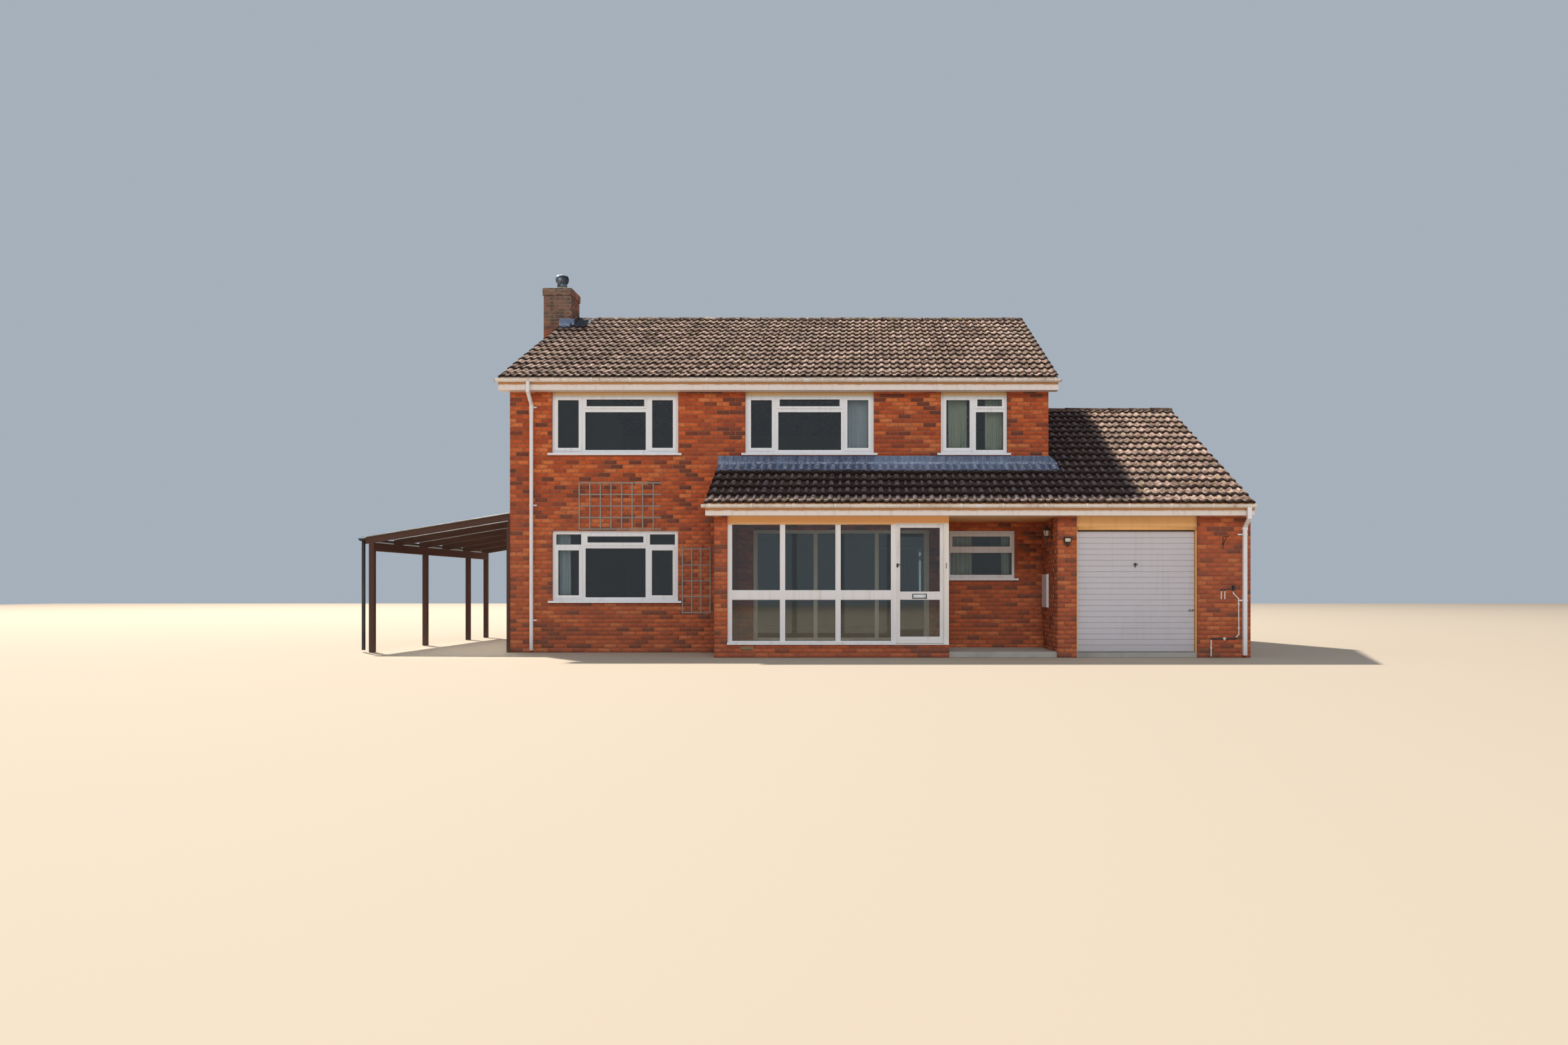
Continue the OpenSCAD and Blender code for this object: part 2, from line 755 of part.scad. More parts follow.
module porch_ceiling() color(cream) {
    box([porch_x0 + brick_t, wing_y + 90, low_soffit_z],
        [recess_x1, front, low_soffit_z + board_t]);
}

module porch_door() color(white) {
    z0 = door_z0;
    z1 = door_z0 + door_h;
    rail = 74;
    difference() {
        box([door_x0, door_y0, z0], [door_x1, door_y1, z1]);
        box([door_x0 + rail, door_y0 - 1, 1097], [door_x1 - rail, door_y1 + 1, z1 - rail]);
        box([door_x0 + rail, door_y0 - 1, z0 + 110], [door_x1 - rail, door_y1 + 1, 960]);
    }
}

module porch_door_glass() color(glass_blue, 0.4) {
    rail = 74;
    y = door_y0 + 18;
    box([door_x0 + rail, y, 1097], [door_x1 - rail, y + 8, door_z0 + door_h - rail]);
    box([door_x0 + rail, y, door_z0 + 110], [door_x1 - rail, y + 8, 960]);
}

module porch_door_fittings() color(black) {
    // Lock plate with a lever
    box([door_x0 + 14, door_y0 - 5, 1500], [door_x0 + 44, door_y0, 1566]);
    translate([door_x0 + 29, door_y0 - 4, 1545]) rotate([90, 0, 0]) cylinder(r = 9, h = 26);
    box([door_x0 + 22, door_y0 - 34, 1538], [door_x0 + 74, door_y0 - 26, 1552]);
    hinge_leaves();
    // Letter plate
    box([2330, door_y0 - 4, 975], [2576, door_y0, 1060]);
}

// Lower slopes over the porch, the recess and the garage
module low_front_slope() color(tile) {
    edge = wing_y - tile_out;
    s_edge = wing_y - fascia_out + board_t;
    difference() {
        union() {
            run_x(low_verge_x, party_x)
                layer(edge, low_ridge_y, low_ridge_y, low_ridge_z, 0, tile_drop);
            run_x(low_struct_x, party_x)
                layer(s_edge, low_ridge_y, low_ridge_y, low_ridge_z, tile_drop, roof_drop);
        }
        // The main block stands where the slope would go on
        box([low_verge_x - 1, front, 0], [right, low_ridge_y + 1, low_ridge_z + 1]);
    }
}

module low_back_slope() color(tile) {
    run_x(right, party_x)
        layer(low_ridge_y, wing_back + tile_out, low_ridge_y, low_ridge_z, 0, tile_drop);
    run_x(right, party_x)
        layer(low_ridge_y, wing_back + fascia_out - board_t, low_ridge_y, low_ridge_z,
            tile_drop, roof_drop);
}

module garage_floor() color("silver") {
    box([right, front, 0], [party_x - brick_t, wing_back - brick_t, gfloor_z]);
    box([recess_x1 + brick_t, wing_y + 330, 0], [party_x - brick_t, front, gfloor_z]);
    box([gdoor_x0, wing_y + 30, 0], [gdoor_x1, wing_y + 330, gfloor_z]);
    box([gdoor_x1, wing_y + brick_t, 0], [party_x - brick_t, wing_y + 330, gfloor_z]);
}

// The wall beside the recess with its pier, and the pier beside the party wall
module garage_front_walls() color(brick) {
    run_x(recess_x1, gdoor_x0) gable_profile(wing_y, wing_y + 330, low_ridge_y, low_ridge_z);
    run_x(recess_x1, recess_x1 + brick_t)
        gable_profile(wing_y + 330, front, low_ridge_y, low_ridge_z);
    run_x(gdoor_x1, party_x - brick_t)
        gable_profile(wing_y, wing_y + brick_t, low_ridge_y, low_ridge_z);
}

module garage_party_wall() color(brick) {
    run_x(party_x - brick_t, party_x)
        gable_profile(wing_y, wing_back, low_ridge_y, low_ridge_z);
}

module garage_back_wall() color(brick) {
    run_x(right, party_x - brick_t)
        gable_profile(wing_back - brick_t, wing_back, low_ridge_y, low_ridge_z);
}

module garage_door_frame() color(cream) {
    top = low_top(header_y) - roof_drop - nip;
    box([gdoor_x0, header_y, header_z0], [gdoor_x1, header_y + header_t, top]);
    box([gdoor_x0, header_y, gfloor_z], [gdoor_x0 + jamb_w, header_y + header_t, header_z0]);
    box([gdoor_x1 - jamb_w, header_y, gfloor_z], [gdoor_x1, header_y + header_t, header_z0]);
    for (x = [gdoor_x0, gdoor_x1 - jamb_w])
        box([x, header_y + header_t, gfloor_z], [x + jamb_w, header_y + jamb_d, header_z0]);
}

module track_profile() {
    difference() {
        square([jamb_w, track_d]);
        translate([2, 2]) square([jamb_w, track_d - 4]);
    }
}

// Upright channels behind the jambs, in which the rollers run
module garage_door_tracks() color("gray") {
    y = spindle_y - track_d / 2;
    translate([gdoor_x0, y, gfloor_z])
        linear_extrude(height = track_z1 - gfloor_z) track_profile();
    translate([gdoor_x1, y, gfloor_z]) mirror([1, 0, 0])
        linear_extrude(height = track_z1 - gfloor_z) track_profile();
}

module garage_door_rollers() color("gray") {
    for (s = [0, 1]) translate([(gdoor_x0 + gdoor_x1) / 2, spindle_y, spindle_z])
        mirror([s, 0, 0]) {
            translate([-gdoor_w / 2 + 7, 0, 0]) rotate([0, 90, 0]) cylinder(r = 14, h = 10);
            translate([-gdoor_w / 2 + 16, 0, 0]) rotate([0, 90, 0])
                cylinder(r = spindle_r, h = 26);
        }
}

// Face of the panel: a groove between every two ribs
module rib_profile() {
    n = floor(gpanel_h / rib_pitch);
    first = (gpanel_h - n * rib_pitch) / 2;
    cut = 7;
    deep = 10;
    outer = [for (i = [0 : n]) let (z = first + i * rib_pitch) if (z > 20 && z < gpanel_h - 20)
        each [[0, z - cut], [deep, z - 3], [deep, z + 3], [0, z + cut]]];
    polygon(concat([[skin_t, 0], [0, 0]], outer, [[0, gpanel_h], [skin_t, gpanel_h]]));
}

module garage_door() color("#dcdce2") {
    edge = 40;
    x0 = gpanel_x[0];
    x1 = gpanel_x[1];
    translate([0, gpanel_y0, gpanel_z0]) {
        run_x(x0, x1) rib_profile();
        difference() {
            box([x0, skin_t, 0], [x1, gpanel_t, gpanel_h]);
            box([x0 + edge, skin_t - 1, edge], [x1 - edge, gpanel_t + 1, gpanel_h - edge]);
        }
        for (z = [spindle_up, 1450])
            box([x0 + edge, skin_t, z - 20], [x1 - edge, gpanel_t - 6, z + 20]);
    }
    // Ears that the roller spindles turn in
    for (x = [x0 + 6, x1 - 12]) difference() {
        box([x, gpanel_y0 + gpanel_t, spindle_z - 28], [x + 6, spindle_y + 18, spindle_z + 28]);
        translate([x - 1, spindle_y, spindle_z]) rotate([0, 90, 0])
            cylinder(r = spindle_r + 0.6, h = 8);
    }
}

module garage_door_handle() color(black) {
    x = (gdoor_x0 + gdoor_x1) / 2 - 8;
    y = gpanel_y0;
    translate([x, y, 1552]) rotate([90, 0, 0]) cylinder(r = 22, h = 6);
    translate([x, y - 5, 1552]) rotate([90, 0, 0]) cylinder(r = 8, h = 34);
    box([x - 34, y - 46, 1543], [x + 34, y - 36, 1561]);
    box([x - 6, y - 12, 1500], [x + 6, y, 1528]);
}

function rafter_top(x) = carport_z - (left - x) * tan(carport_fall);

module rafter(y0, w) {
    run_y(y0, w) polygon([
        [left, rafter_top(left)], [outer_x, rafter_top(outer_x)],
        [outer_x, rafter_top(outer_x) - rafter_h], [left, rafter_top(left) - rafter_h]]);
}

beam_z = rafter_top(post_x + post_s) - rafter_h;

module carport_rafters() color(oak) {
    for (i = [0 : rafter_n - 1]) rafter(front + i * rafter_pitch, rafter_w);
}

// Outer beam, and a wall plate each side of the chimney breast
module carport_beams() color(oak) {
    end = front + carport_l + rafter_w;
    run_y(front, carport_l + rafter_w) polygon([
        [post_x, beam_z - beam_h], [post_x + post_s, beam_z - beam_h],
        [post_x + post_s, beam_z - nip], [post_x, rafter_top(post_x) - rafter_h - nip]]);
    plate_z = rafter_top(left - plate_t) - rafter_h - nip;
    for (y = [[front, stack_y], [stack_y + stack_d, end]])
        box([left - plate_t, y[0], plate_z - beam_h], [left, y[1], plate_z]);
}

// Posts under the outer beam, and the post at the corner of the house
module carport_posts() color(oak) {
    for (i = [0, 2, 4, 5]) {
        y = front + i * rafter_pitch - (i == 5 ? post_s - rafter_w : 0);
        box([post_x, y, 0], [post_x + post_s, y + post_s, beam_z - beam_h]);
    }
    box([left - 65, front, 0], [left, front + 65,
        rafter_top(left - plate_t) - rafter_h - nip - beam_h]);
}

module carport_sheet() color("#b9c4c8", 0.5) {
    difference() {
        run_y(front - 60, carport_l + rafter_w + 120) polygon([
            [left, rafter_top(left)], [left, rafter_top(left) + sheet_t],
            [outer_x - 60, rafter_top(outer_x - 60) + sheet_t],
            [outer_x - 60, rafter_top(outer_x - 60)]]);
        box([stack_x - 10, stack_y - 10, 2000], [left + 1, stack_y + stack_d + 10, 3000]);
    }
}

module carport_gutter() color(black) {
    y0 = front - 60;
    length = carport_l + rafter_w + 120;
    gx = outer_x - 52;
    gz = rafter_top(outer_x) - 22;
    run_y(y0, length) translate([gx, gz]) rotate(180) half_round(50, 3);
    for (y = [y0, y0 + length - 3]) run_y(y, 3) translate([gx, gz]) intersection() {
        circle(r = 50);
        translate([-50, -50]) square([100, 50]);
    }
    translate([gx, front + 40, 40]) cylinder(r = 32, h = gz - 86);
}

module trellis() color("#8d8a86") {
    lath = 22;
    t = 10;
    x0 = -3600;
    z0 = 2205;
    dx = 190;
    dz = 207;
    for (i = [0 : 7]) box([x0 + i * dx, front - 2 * t, z0],
        [x0 + i * dx + lath, front - t, z0 + 4 * dz + lath]);
    for (i = [0 : 4]) box([x0, front - t, z0 + i * dz], [x0 + 7 * dx + 150, front, z0 + i * dz + lath]);
    // Narrow panel beside the lower window
    for (i = [0 : 3]) box([-1745 + i * 165, front - 2 * t, 700], [-1745 + i * 165 + lath, front - t, 1900]);
    for (z = [702, 990, 1275, 1560, 1850]) box([-1745, front - t, z], [-1250 + lath, front, z + lath]);
}

// Lantern on the side of the recess, with its conduit down from the soffit
module lantern() {
    y = wing_y + 500;
    x = recess_x1 - 102;
    box([recess_x1 - 14, y - 28, 1980], [recess_x1, y + 28, 2085]);
    box([x, y - 6, 2020], [recess_x1 - 14, y + 6, 2032]);
    translate([x, y, 2014]) cylinder(r1 = 18, r2 = 34, h = 20);
    translate([x, y, 2034]) cylinder(r1 = 40, r2 = 66, h = 112, $fn = 6);
    translate([x, y, 2146]) cylinder(r1 = 80, r2 = 16, h = 60, $fn = 6);
    translate([x, y, 2214]) sphere(r = 13);
    translate([x, y, 1872]) cylinder(r = 9, h = 143);
    translate([recess_x1 - 9, y, 2085]) cylinder(r = 8.5, h = low_soffit_z - 2085);
}

// Lamp with a movement sensor on the garage pier
module sensor_lamp() {
    x = 4900;
    box([x - 25, wing_y - 22, 1900], [x + 25, wing_y, 1990]);
    translate([x, wing_y - 20, 1962]) rotate([12, 0, 0])
        box([-59, -66, -44], [59, -2, 44]);
    translate([x + 8, wing_y - 50, 1882]) sphere(r = 33);
    translate([x + 8, wing_y - 50, 1890]) cylinder(r = 12, h = 60);
}

module wall_lights() color(black) {
    lantern();
    sensor_lamp();
}

// Shallow box let into the side of the recess, with a lipped door
module meter_box() color(white) {
    y0 = front - 600;
    y1 = front - 50;
    box([recess_x1 - 32, y0, 815], [recess_x1, y1, 1400]);
    box([recess_x1 - 40, y0 + 14, 829], [recess_x1 - 32, y1 - 14, 1386]);
}

// Outside tap on the right pier, with its supply pipe and a stop valve
module outside_tap() color(white) {
    x = 7660;
    y = wing_y - 16;
    pipe([[x, y, 1160], [x, y, 1065], [x + 85, y, 978], [x + 90, y, 388], [x + 30, y, 316],
        [x - 370, y, 316], [x - 370, y, 20]], 11);
    for (z = [480, 880]) box([x + 72, wing_y - 20, z], [x + 106, wing_y, z + 20]);
    box([x - 387, wing_y - 20, 150], [x - 353, wing_y, 170]);
    translate([x - 149, y, 285]) cylinder(r = 15.5, h = 54);
    // Wall plate, body, spout and handle of the tap
    translate([x, wing_y, 1164]) rotate([90, 0, 0]) cylinder(r = 26, h = 8);
    translate([x, wing_y, 1164]) rotate([90, 0, 0]) cylinder(r = 15, h = 74);
    translate([x, wing_y - 62, 1112]) cylinder(r = 10, h = 60);
    translate([x, wing_y - 44, 1170]) cylinder(r = 9, h = 26);
    translate([x, wing_y - 44, 1194]) cylinder(r = 24, h = 10);
    // Rail with two hose hooks beside it
    box([x - 204, wing_y - 12, 1128], [x - 20, wing_y, 1140]);
    for (hook = [x - 208, x - 150]) box([hook, wing_y - 16, 970], [hook + 16, wing_y, 1128]);
}

// Bracket for a hanging basket: a back bar, an arm and a brace
module basket_bracket() color(black) {
    x = 7482;
    z = 2008;
    box([x, wing_y - 8, z - 200], [x + 14, wing_y, z]);
    box([x + 2, wing_y - 300, z - 12], [x + 12, wing_y - 8, z]);
    run_x(x + 2, x + 12) polygon([[wing_y - 8, z - 140], [wing_y - 8, z - 126],
        [wing_y - 190, z - 12], [wing_y - 208, z - 12]]);
    translate([x + 2, wing_y - 300, z]) rotate([0, 90, 0]) cylinder(r = 14, h = 10);
}

ground_floor();
first_floor();
front_wall();
back_wall();
left_gable();
right_gable();
chimney_breast();
chimney_stack();
chimney_pot();
front_roof_slope();
back_roof_slope();
ridge_tiles();
bargeboards();
eaves_boards();
gutters();
downpipes();
lead_flashing();
front_windows();
front_glass();
back_windows();
back_glass();
hall_screen();
porch_floor();
porch_wall();
porch_screen();
porch_glass();
porch_door_frame();
porch_door_hinges();
porch_return();
porch_ceiling();
low_front_slope();
low_back_slope();
garage_floor();
garage_front_walls();
garage_party_wall();
garage_back_wall();
garage_door_frame();
garage_door_tracks();
carport_posts();
carport_beams();
carport_rafters();
carport_sheet();
carport_gutter();
trellis();
wall_lights();
meter_box();
outside_tap();
basket_bracket();
porch_door();
porch_door_glass();
porch_door_fittings();
garage_door();
garage_door_handle();
garage_door_rollers();
rotary_cowl();
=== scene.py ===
import functools
import math

import bpy
import numpy as np
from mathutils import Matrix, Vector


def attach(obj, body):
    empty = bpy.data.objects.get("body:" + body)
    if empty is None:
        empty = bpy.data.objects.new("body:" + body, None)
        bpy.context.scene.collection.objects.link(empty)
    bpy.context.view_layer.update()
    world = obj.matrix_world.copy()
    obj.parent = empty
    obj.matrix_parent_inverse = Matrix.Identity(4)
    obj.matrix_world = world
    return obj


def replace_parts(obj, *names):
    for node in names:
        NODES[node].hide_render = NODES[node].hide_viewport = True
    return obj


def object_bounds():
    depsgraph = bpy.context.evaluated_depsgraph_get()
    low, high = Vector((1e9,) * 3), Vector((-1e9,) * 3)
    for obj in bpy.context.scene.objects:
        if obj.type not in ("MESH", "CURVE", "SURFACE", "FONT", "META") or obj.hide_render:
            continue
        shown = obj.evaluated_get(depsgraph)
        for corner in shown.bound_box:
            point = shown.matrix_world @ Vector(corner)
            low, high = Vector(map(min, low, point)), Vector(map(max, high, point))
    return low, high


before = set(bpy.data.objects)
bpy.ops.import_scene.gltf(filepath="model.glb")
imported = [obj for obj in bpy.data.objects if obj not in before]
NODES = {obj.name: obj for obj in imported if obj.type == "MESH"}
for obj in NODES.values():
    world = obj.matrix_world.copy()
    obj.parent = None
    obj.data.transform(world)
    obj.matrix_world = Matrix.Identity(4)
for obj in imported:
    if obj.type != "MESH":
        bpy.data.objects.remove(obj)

# Looks of a brick house with a tiled roof, porch, garage and carport.
# Metres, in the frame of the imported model: +X along the front, +Y to the back.
cad_low, cad_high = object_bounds()

# Sizes that the solids have too: outer faces of the main block, the wing's front, soffits
FRONT, BACK, LEFT, RIGHT = -4.3, 4.3, -4.835, 4.835
WING = -5.79
SOFFIT, LOW_SOFFIT = 4.68, 2.35
# Roofs: the slab's top at its lowest edge, how far the tiles overhang, verges and ridges
PITCH = math.radians(25)
RISE = math.tan(PITCH)
EAVES, LOW_EAVES = 4.92, 2.565
TILE_OUT = 0.25
VERGE = RIGHT + 0.14
STRUCT = VERGE - 0.03
RIDGE = EAVES + (BACK + TILE_OUT) * RISE
LOW_RIDGE_Y = -1.05
LOW_RIDGE = LOW_EAVES + (LOW_RIDGE_Y - WING + TILE_OUT) * RISE
WING_BACK = 2 * LOW_RIDGE_Y - WING
# Faces of the wing's walls along x, and the garage doorway
PORCH, BRICK = -0.963, 0.215
RECESS = 4.747
PARTY = 7.95
LOW_VERGE = PORCH - 0.137
GARAGE = (5.06, 7.069)
# Stack (x0, x1, y0, y1), its levels, and the corbelled head
STACK = (-5.29, -4.71, -0.655, 0.015)
STACK_TOP, STACK_BASE, CORBEL = 7.53, 6.5, 0.018
HEAD = STACK_TOP - 0.15
RAFTER_FALL = math.tan(math.radians(9.4))
# Windows: (x, width, kind) in the upper rows, (x, width, sill, height) below
UPPER_ROW = ((-4.085, 2.27, 3), (-0.609, 2.31, 3), (2.906, 1.19, 2))
UP_SILL, UP_H = 3.578, 1.06
LOW_WINDOW = (-4.08, 2.262, 0.925, 1.26)
RECESS_WINDOW = (3.03, 1.202, 1.33, 0.852)
BACK_UPPER = ((-4.085, 2.27, 3), (-0.7, 1.19, 2), (1.775, 2.31, 3))
BACK_LOWER = ((-4.08, 2.262), (1.815, 2.262))
REVEAL, SILL = 0.04, 0.036
# Bricks with their joints
COURSE, LENGTH, JOINT = 0.075, 0.225, 0.01


# Surfaces worked out as whole arrays
def grid_faces(rows, columns, around=False, back=False):
    """Four-sided faces over a grid of points; around joins its last column to its first, and
    back its last row to its first."""
    i, j = np.meshgrid(np.arange(rows if back else rows - 1),
                       np.arange(columns if around else columns - 1), indexing="ij")
    k, n = (j + 1) % columns, (i + 1) % rows
    return np.stack([i * columns + j, i * columns + k, n * columns + k,
                     n * columns + j], -1).reshape(-1, 4)


def flipped(faces):
    """The same faces seen from behind; a triangle keeps its last corner doubled."""
    turned_over = faces[:, ::-1].copy()
    three = faces[:, 2] == faces[:, 3]
    turned_over[three] = faces[three][:, [2, 1, 0, 0]]
    return turned_over


def capped(grid):
    """Closes a grid that runs round in its columns with a fan at each end row."""
    rows, m = grid.shape[:2]
    points = np.vstack([grid.reshape(-1, 3), grid[0].mean(0), grid[-1].mean(0)])
    ring = np.arange(m)
    after, last = np.roll(ring, -1), (rows - 1) * m
    low = np.column_stack([np.full(m, rows * m), after, ring, ring])
    high = np.column_stack([np.full(m, rows * m + 1), ring + last, after + last, after + last])
    return points, np.vstack([grid_faces(rows, m, around=True), low, high])


def ribbon(grid, thick):
    """A thin closed sheet: its face is a grid of points, and its back is the grid moved in
    by the thickness along the surface's normal, the cross product of its two directions."""
    rows, columns = grid.shape[:2]
    normal = np.cross(np.gradient(grid, axis=1), np.gradient(grid, axis=0))
    normal /= np.linalg.norm(normal, axis=2)[..., None]
    n = rows * columns
    face = grid_faces(rows, columns)
    loop = np.concatenate([np.arange(columns - 1), (np.arange(rows - 1) + 1) * columns - 1,
                           n - 1 - np.arange(columns - 1),
                           (rows - 1 - np.arange(rows - 1)) * columns])
    after = np.roll(loop, -1)
    rim = np.stack([loop + n, after + n, after, loop], 1)
    points = np.concatenate([grid.reshape(-1, 3), (grid - thick * normal).reshape(-1, 3)])
    return points, np.vstack([face, face[:, ::-1] + n, rim])


def joined(parts):
    """Stacks (points, faces, tone, edge, crest) parts into one, moving the face numbers on."""
    points, faces, extra, start = [], [], ([], [], []), 0
    for part in parts:
        count = len(part[0])
        points.append(part[0])
        faces.append(part[1] + start)
        for k in range(3):
            extra[k].append(part[k + 2] if len(part) > k + 2 else np.zeros(count))
        start += count
    return np.vstack(points), np.vstack(faces), *(np.concatenate(e) for e in extra)


def hexahedra(corners, tones=None):
    """Closed six-sided blocks from (n, 8, 3) corners: a loop of four, then the loop over it."""
    n = len(corners)
    one = np.array([[3, 2, 1, 0], [4, 5, 6, 7], [0, 1, 5, 4], [1, 2, 6, 5], [2, 3, 7, 6],
                    [3, 0, 4, 7]])
    faces = (one[None] + 8 * np.arange(n)[:, None, None]).reshape(-1, 4)
    tone = np.repeat(np.zeros(n) if tones is None else tones, 8)
    return corners.reshape(-1, 3), faces, tone


def blocks(low, high, tones=None):
    """Upright boxes between arrays of lowest and highest corners."""
    low, high = np.atleast_2d(low).astype(float), np.atleast_2d(high).astype(float)
    pick = np.array([[0, 0, 0], [1, 0, 0], [1, 1, 0], [0, 1, 0],
                     [0, 0, 1], [1, 0, 1], [1, 1, 1], [0, 1, 1]])
    corners = np.where(pick[None] == 1, high[:, None], low[:, None])
    return hexahedra(corners, tones)


def swept(outline, path, side=None):
    """Carries a closed outline (m, 2) along a path (n, 3) and caps both ends.

    Point (i, j) is path[i] + outline[j, 0] * across[i] + outline[j, 1] * over[i], where
    across is square to the path and to the side direction, and over is square to both."""
    path = np.asarray(path, float)
    along = np.gradient(path, axis=0)
    along /= np.linalg.norm(along, axis=1)[:, None]
    guide = np.array([0.0, 0.0, 1.0] if side is None else side)
    across = np.cross(along, guide)
    across /= np.linalg.norm(across, axis=1)[:, None]
    over = np.cross(along, across)
    outline = np.asarray(outline, float)
    return capped(path[:, None] + outline[None, :, :1] * across[:, None]
                  + outline[None, :, 1:] * over[:, None])


def turned(profile, centre, steps=24):
    """Turns an (r, h) profile, drawn upwards, about an upright line through the centre."""
    profile = np.asarray(profile, float)
    angle = np.linspace(0, 2 * math.pi, steps, endpoint=False)
    r, h = profile[:, :1], profile[:, 1:]
    return capped(np.stack([r * np.cos(angle), r * np.sin(angle), h + 0 * angle], -1)
                  + np.asarray(centre, float))


def circle(radius, steps=12):
    """An outline of points on a circle."""
    angle = np.linspace(0, 2 * math.pi, steps, endpoint=False)
    return np.column_stack([radius * np.cos(angle), radius * np.sin(angle)])


def piece(name, part, material, body="house", angle=None):
    """Makes one object of a part or a list of parts, with tone, edge and crest as point
    attributes. Given an angle, it is smooth but for edges that turn by more."""
    part = joined(part) if isinstance(part, list) else part
    points, faces = part[:2]
    mesh = bpy.data.meshes.new(name)
    flat = faces[:, 2] == faces[:, 3]
    corners = faces.ravel()
    keep = np.ones((len(faces), 4), bool)
    keep[flat, 3] = False
    loops = corners[keep.ravel()].astype(np.int32)
    sizes = keep.sum(1)
    mesh.vertices.add(len(points))
    mesh.vertices.foreach_set("co", np.asarray(points, np.float32).ravel())
    mesh.loops.add(len(loops))
    mesh.loops.foreach_set("vertex_index", loops)
    mesh.polygons.add(len(faces))
    mesh.polygons.foreach_set("loop_start", (np.cumsum(sizes) - sizes).astype(np.int32))
    mesh.update(calc_edges=True)
    if angle is not None:
        mesh.shade_smooth()
        mesh.set_sharp_from_angle(angle=math.radians(angle))
    for title, values in zip(("tone", "edge", "crest"), part[2:]):
        mesh.attributes.new(title, "FLOAT", "POINT").data.foreach_set(
            "value", np.asarray(values, np.float32))
    mesh.materials.append(material)
    thing = bpy.data.objects.new(name, mesh)
    bpy.context.scene.collection.objects.link(thing)
    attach(thing, body)
    return thing


# Shader building
class Field:
    """A value or a colour in a node tree; sums, differences and products make Math nodes."""

    def __init__(self, nodes, socket):
        self.nodes, self.socket = nodes, socket

    def maths(self, operation, other=0.0, clamp=False):
        return self.nodes.maths(operation, self, other, clamp)

    def __add__(self, other):
        return self.maths("ADD", other)

    def __sub__(self, other):
        return self.maths("SUBTRACT", other)

    def __rsub__(self, number):
        return self.nodes.maths("SUBTRACT", number, self)

    def __mul__(self, other):
        return self.maths("MULTIPLY", other)

    def __abs__(self):
        return self.maths("ABSOLUTE")

    def plus(self, other):
        """A sum kept between 0 and 1."""
        return self.maths("ADD", other, clamp=True)

    def between(self, low, high):
        """0 at low and 1 at high, smooth between the two and level beyond them."""
        return self.nodes.put("MapRange", 0, {0: self, 1: low, 2: high, 3: 0.0, 4: 1.0},
                              interpolation_type="SMOOTHSTEP")


def blend(share, under, over):
    """The colour under with a share of the colour over it."""
    under, over = (x if isinstance(x, Field) else (*x, 1.0) for x in (under, over))
    return share.nodes.put("Mix", 2, {0: share, 6: under, 7: over}, data_type="RGBA")


def layered(colour, *coats):
    """The colour under coats of (share, colour), the last one on top."""
    for share, over in coats:
        colour = blend(share, colour, over)
    return colour


class Nodes:
    """A node tree that is being filled, with the place in the object's own frame."""

    def __init__(self, tree):
        self.tree = tree

    def node(self, kind, values=None, **settings):
        """Adds a node, sets its properties and inputs, and links the inputs that are fields."""
        made = self.tree.nodes.new("ShaderNode" + kind)
        for key, value in settings.items():
            setattr(made, key, value)
        for key, value in (values or {}).items():
            if isinstance(value, Field):
                self.tree.links.new(value.socket, made.inputs[key])
            else:
                made.inputs[key].default_value = value
        return made

    def put(self, kind, out, values=None, **settings):
        """Adds a node and gives its output named or numbered out."""
        return Field(self, self.node(kind, values, **settings).outputs[out])

    def maths(self, operation, a, b=0.0, clamp=False):
        return self.put("Math", 0, {0: a, 1: b}, operation=operation, use_clamp=clamp)

    @functools.cached_property
    def where(self):
        return self.put("TexCoord", "Object")

    @functools.cached_property
    def spot(self):
        """The place's coordinates, by the names X, Y and Z."""
        return self.fields(self.node("SeparateXYZ", {"Vector": self.where}))

    def fields(self, node):
        return {socket.name: Field(self, socket) for socket in node.outputs}

    def attribute(self, name):
        return self.put("Attribute", "Fac", attribute_name=name)

    def stretched(self, x, y, z):
        return self.put("Mapping", "Vector", {"Vector": self.where, "Scale": (x, y, z)})

    def noise(self, scale, detail=3.0, rough=0.55, where=None):
        return self.put("TexNoise", "Fac", {"Vector": where or self.where, "Scale": scale,
                                            "Detail": detail, "Roughness": rough})

    def steps(self, value, stops):
        """A colour ramp through (place, colour) stops."""
        node = self.node("ValToRGB", {"Fac": value})
        ramp = node.color_ramp
        while len(ramp.elements) < len(stops):
            ramp.elements.new(0.5)
        for element, (place, colour) in zip(ramp.elements, stops):
            element.position = place
            element.color = (*colour, 1.0)
        return Field(self, node.outputs["Color"])

    def group(self, tree, **values):
        """Adds a shared node group and gives its outputs by name."""
        made = self.tree.nodes.new("ShaderNodeGroup")
        made.node_tree = tree
        for key, value in values.items():
            made.inputs[key].default_value = value
        return self.fields(made)


def group_of(name, inputs, outputs, build):
    """A shared node group; build(nodes, inputs) gives its outputs by name."""
    tree = bpy.data.node_groups.new(name, "ShaderNodeTree")
    for title, value in inputs.items():
        kind = "NodeSocketVector" if isinstance(value, tuple) else "NodeSocketFloat"
        tree.interface.new_socket(title, in_out="INPUT", socket_type=kind).default_value = value
    for title in outputs:
        tree.interface.new_socket(title, in_out="OUTPUT", socket_type="NodeSocketFloat")
    start, end = tree.nodes.new("NodeGroupInput"), tree.nodes.new("NodeGroupOutput")
    nodes = Nodes(tree)
    for title, field in build(nodes, nodes.fields(start)).items():
        tree.links.new(field.socket, end.inputs[title])
    return tree


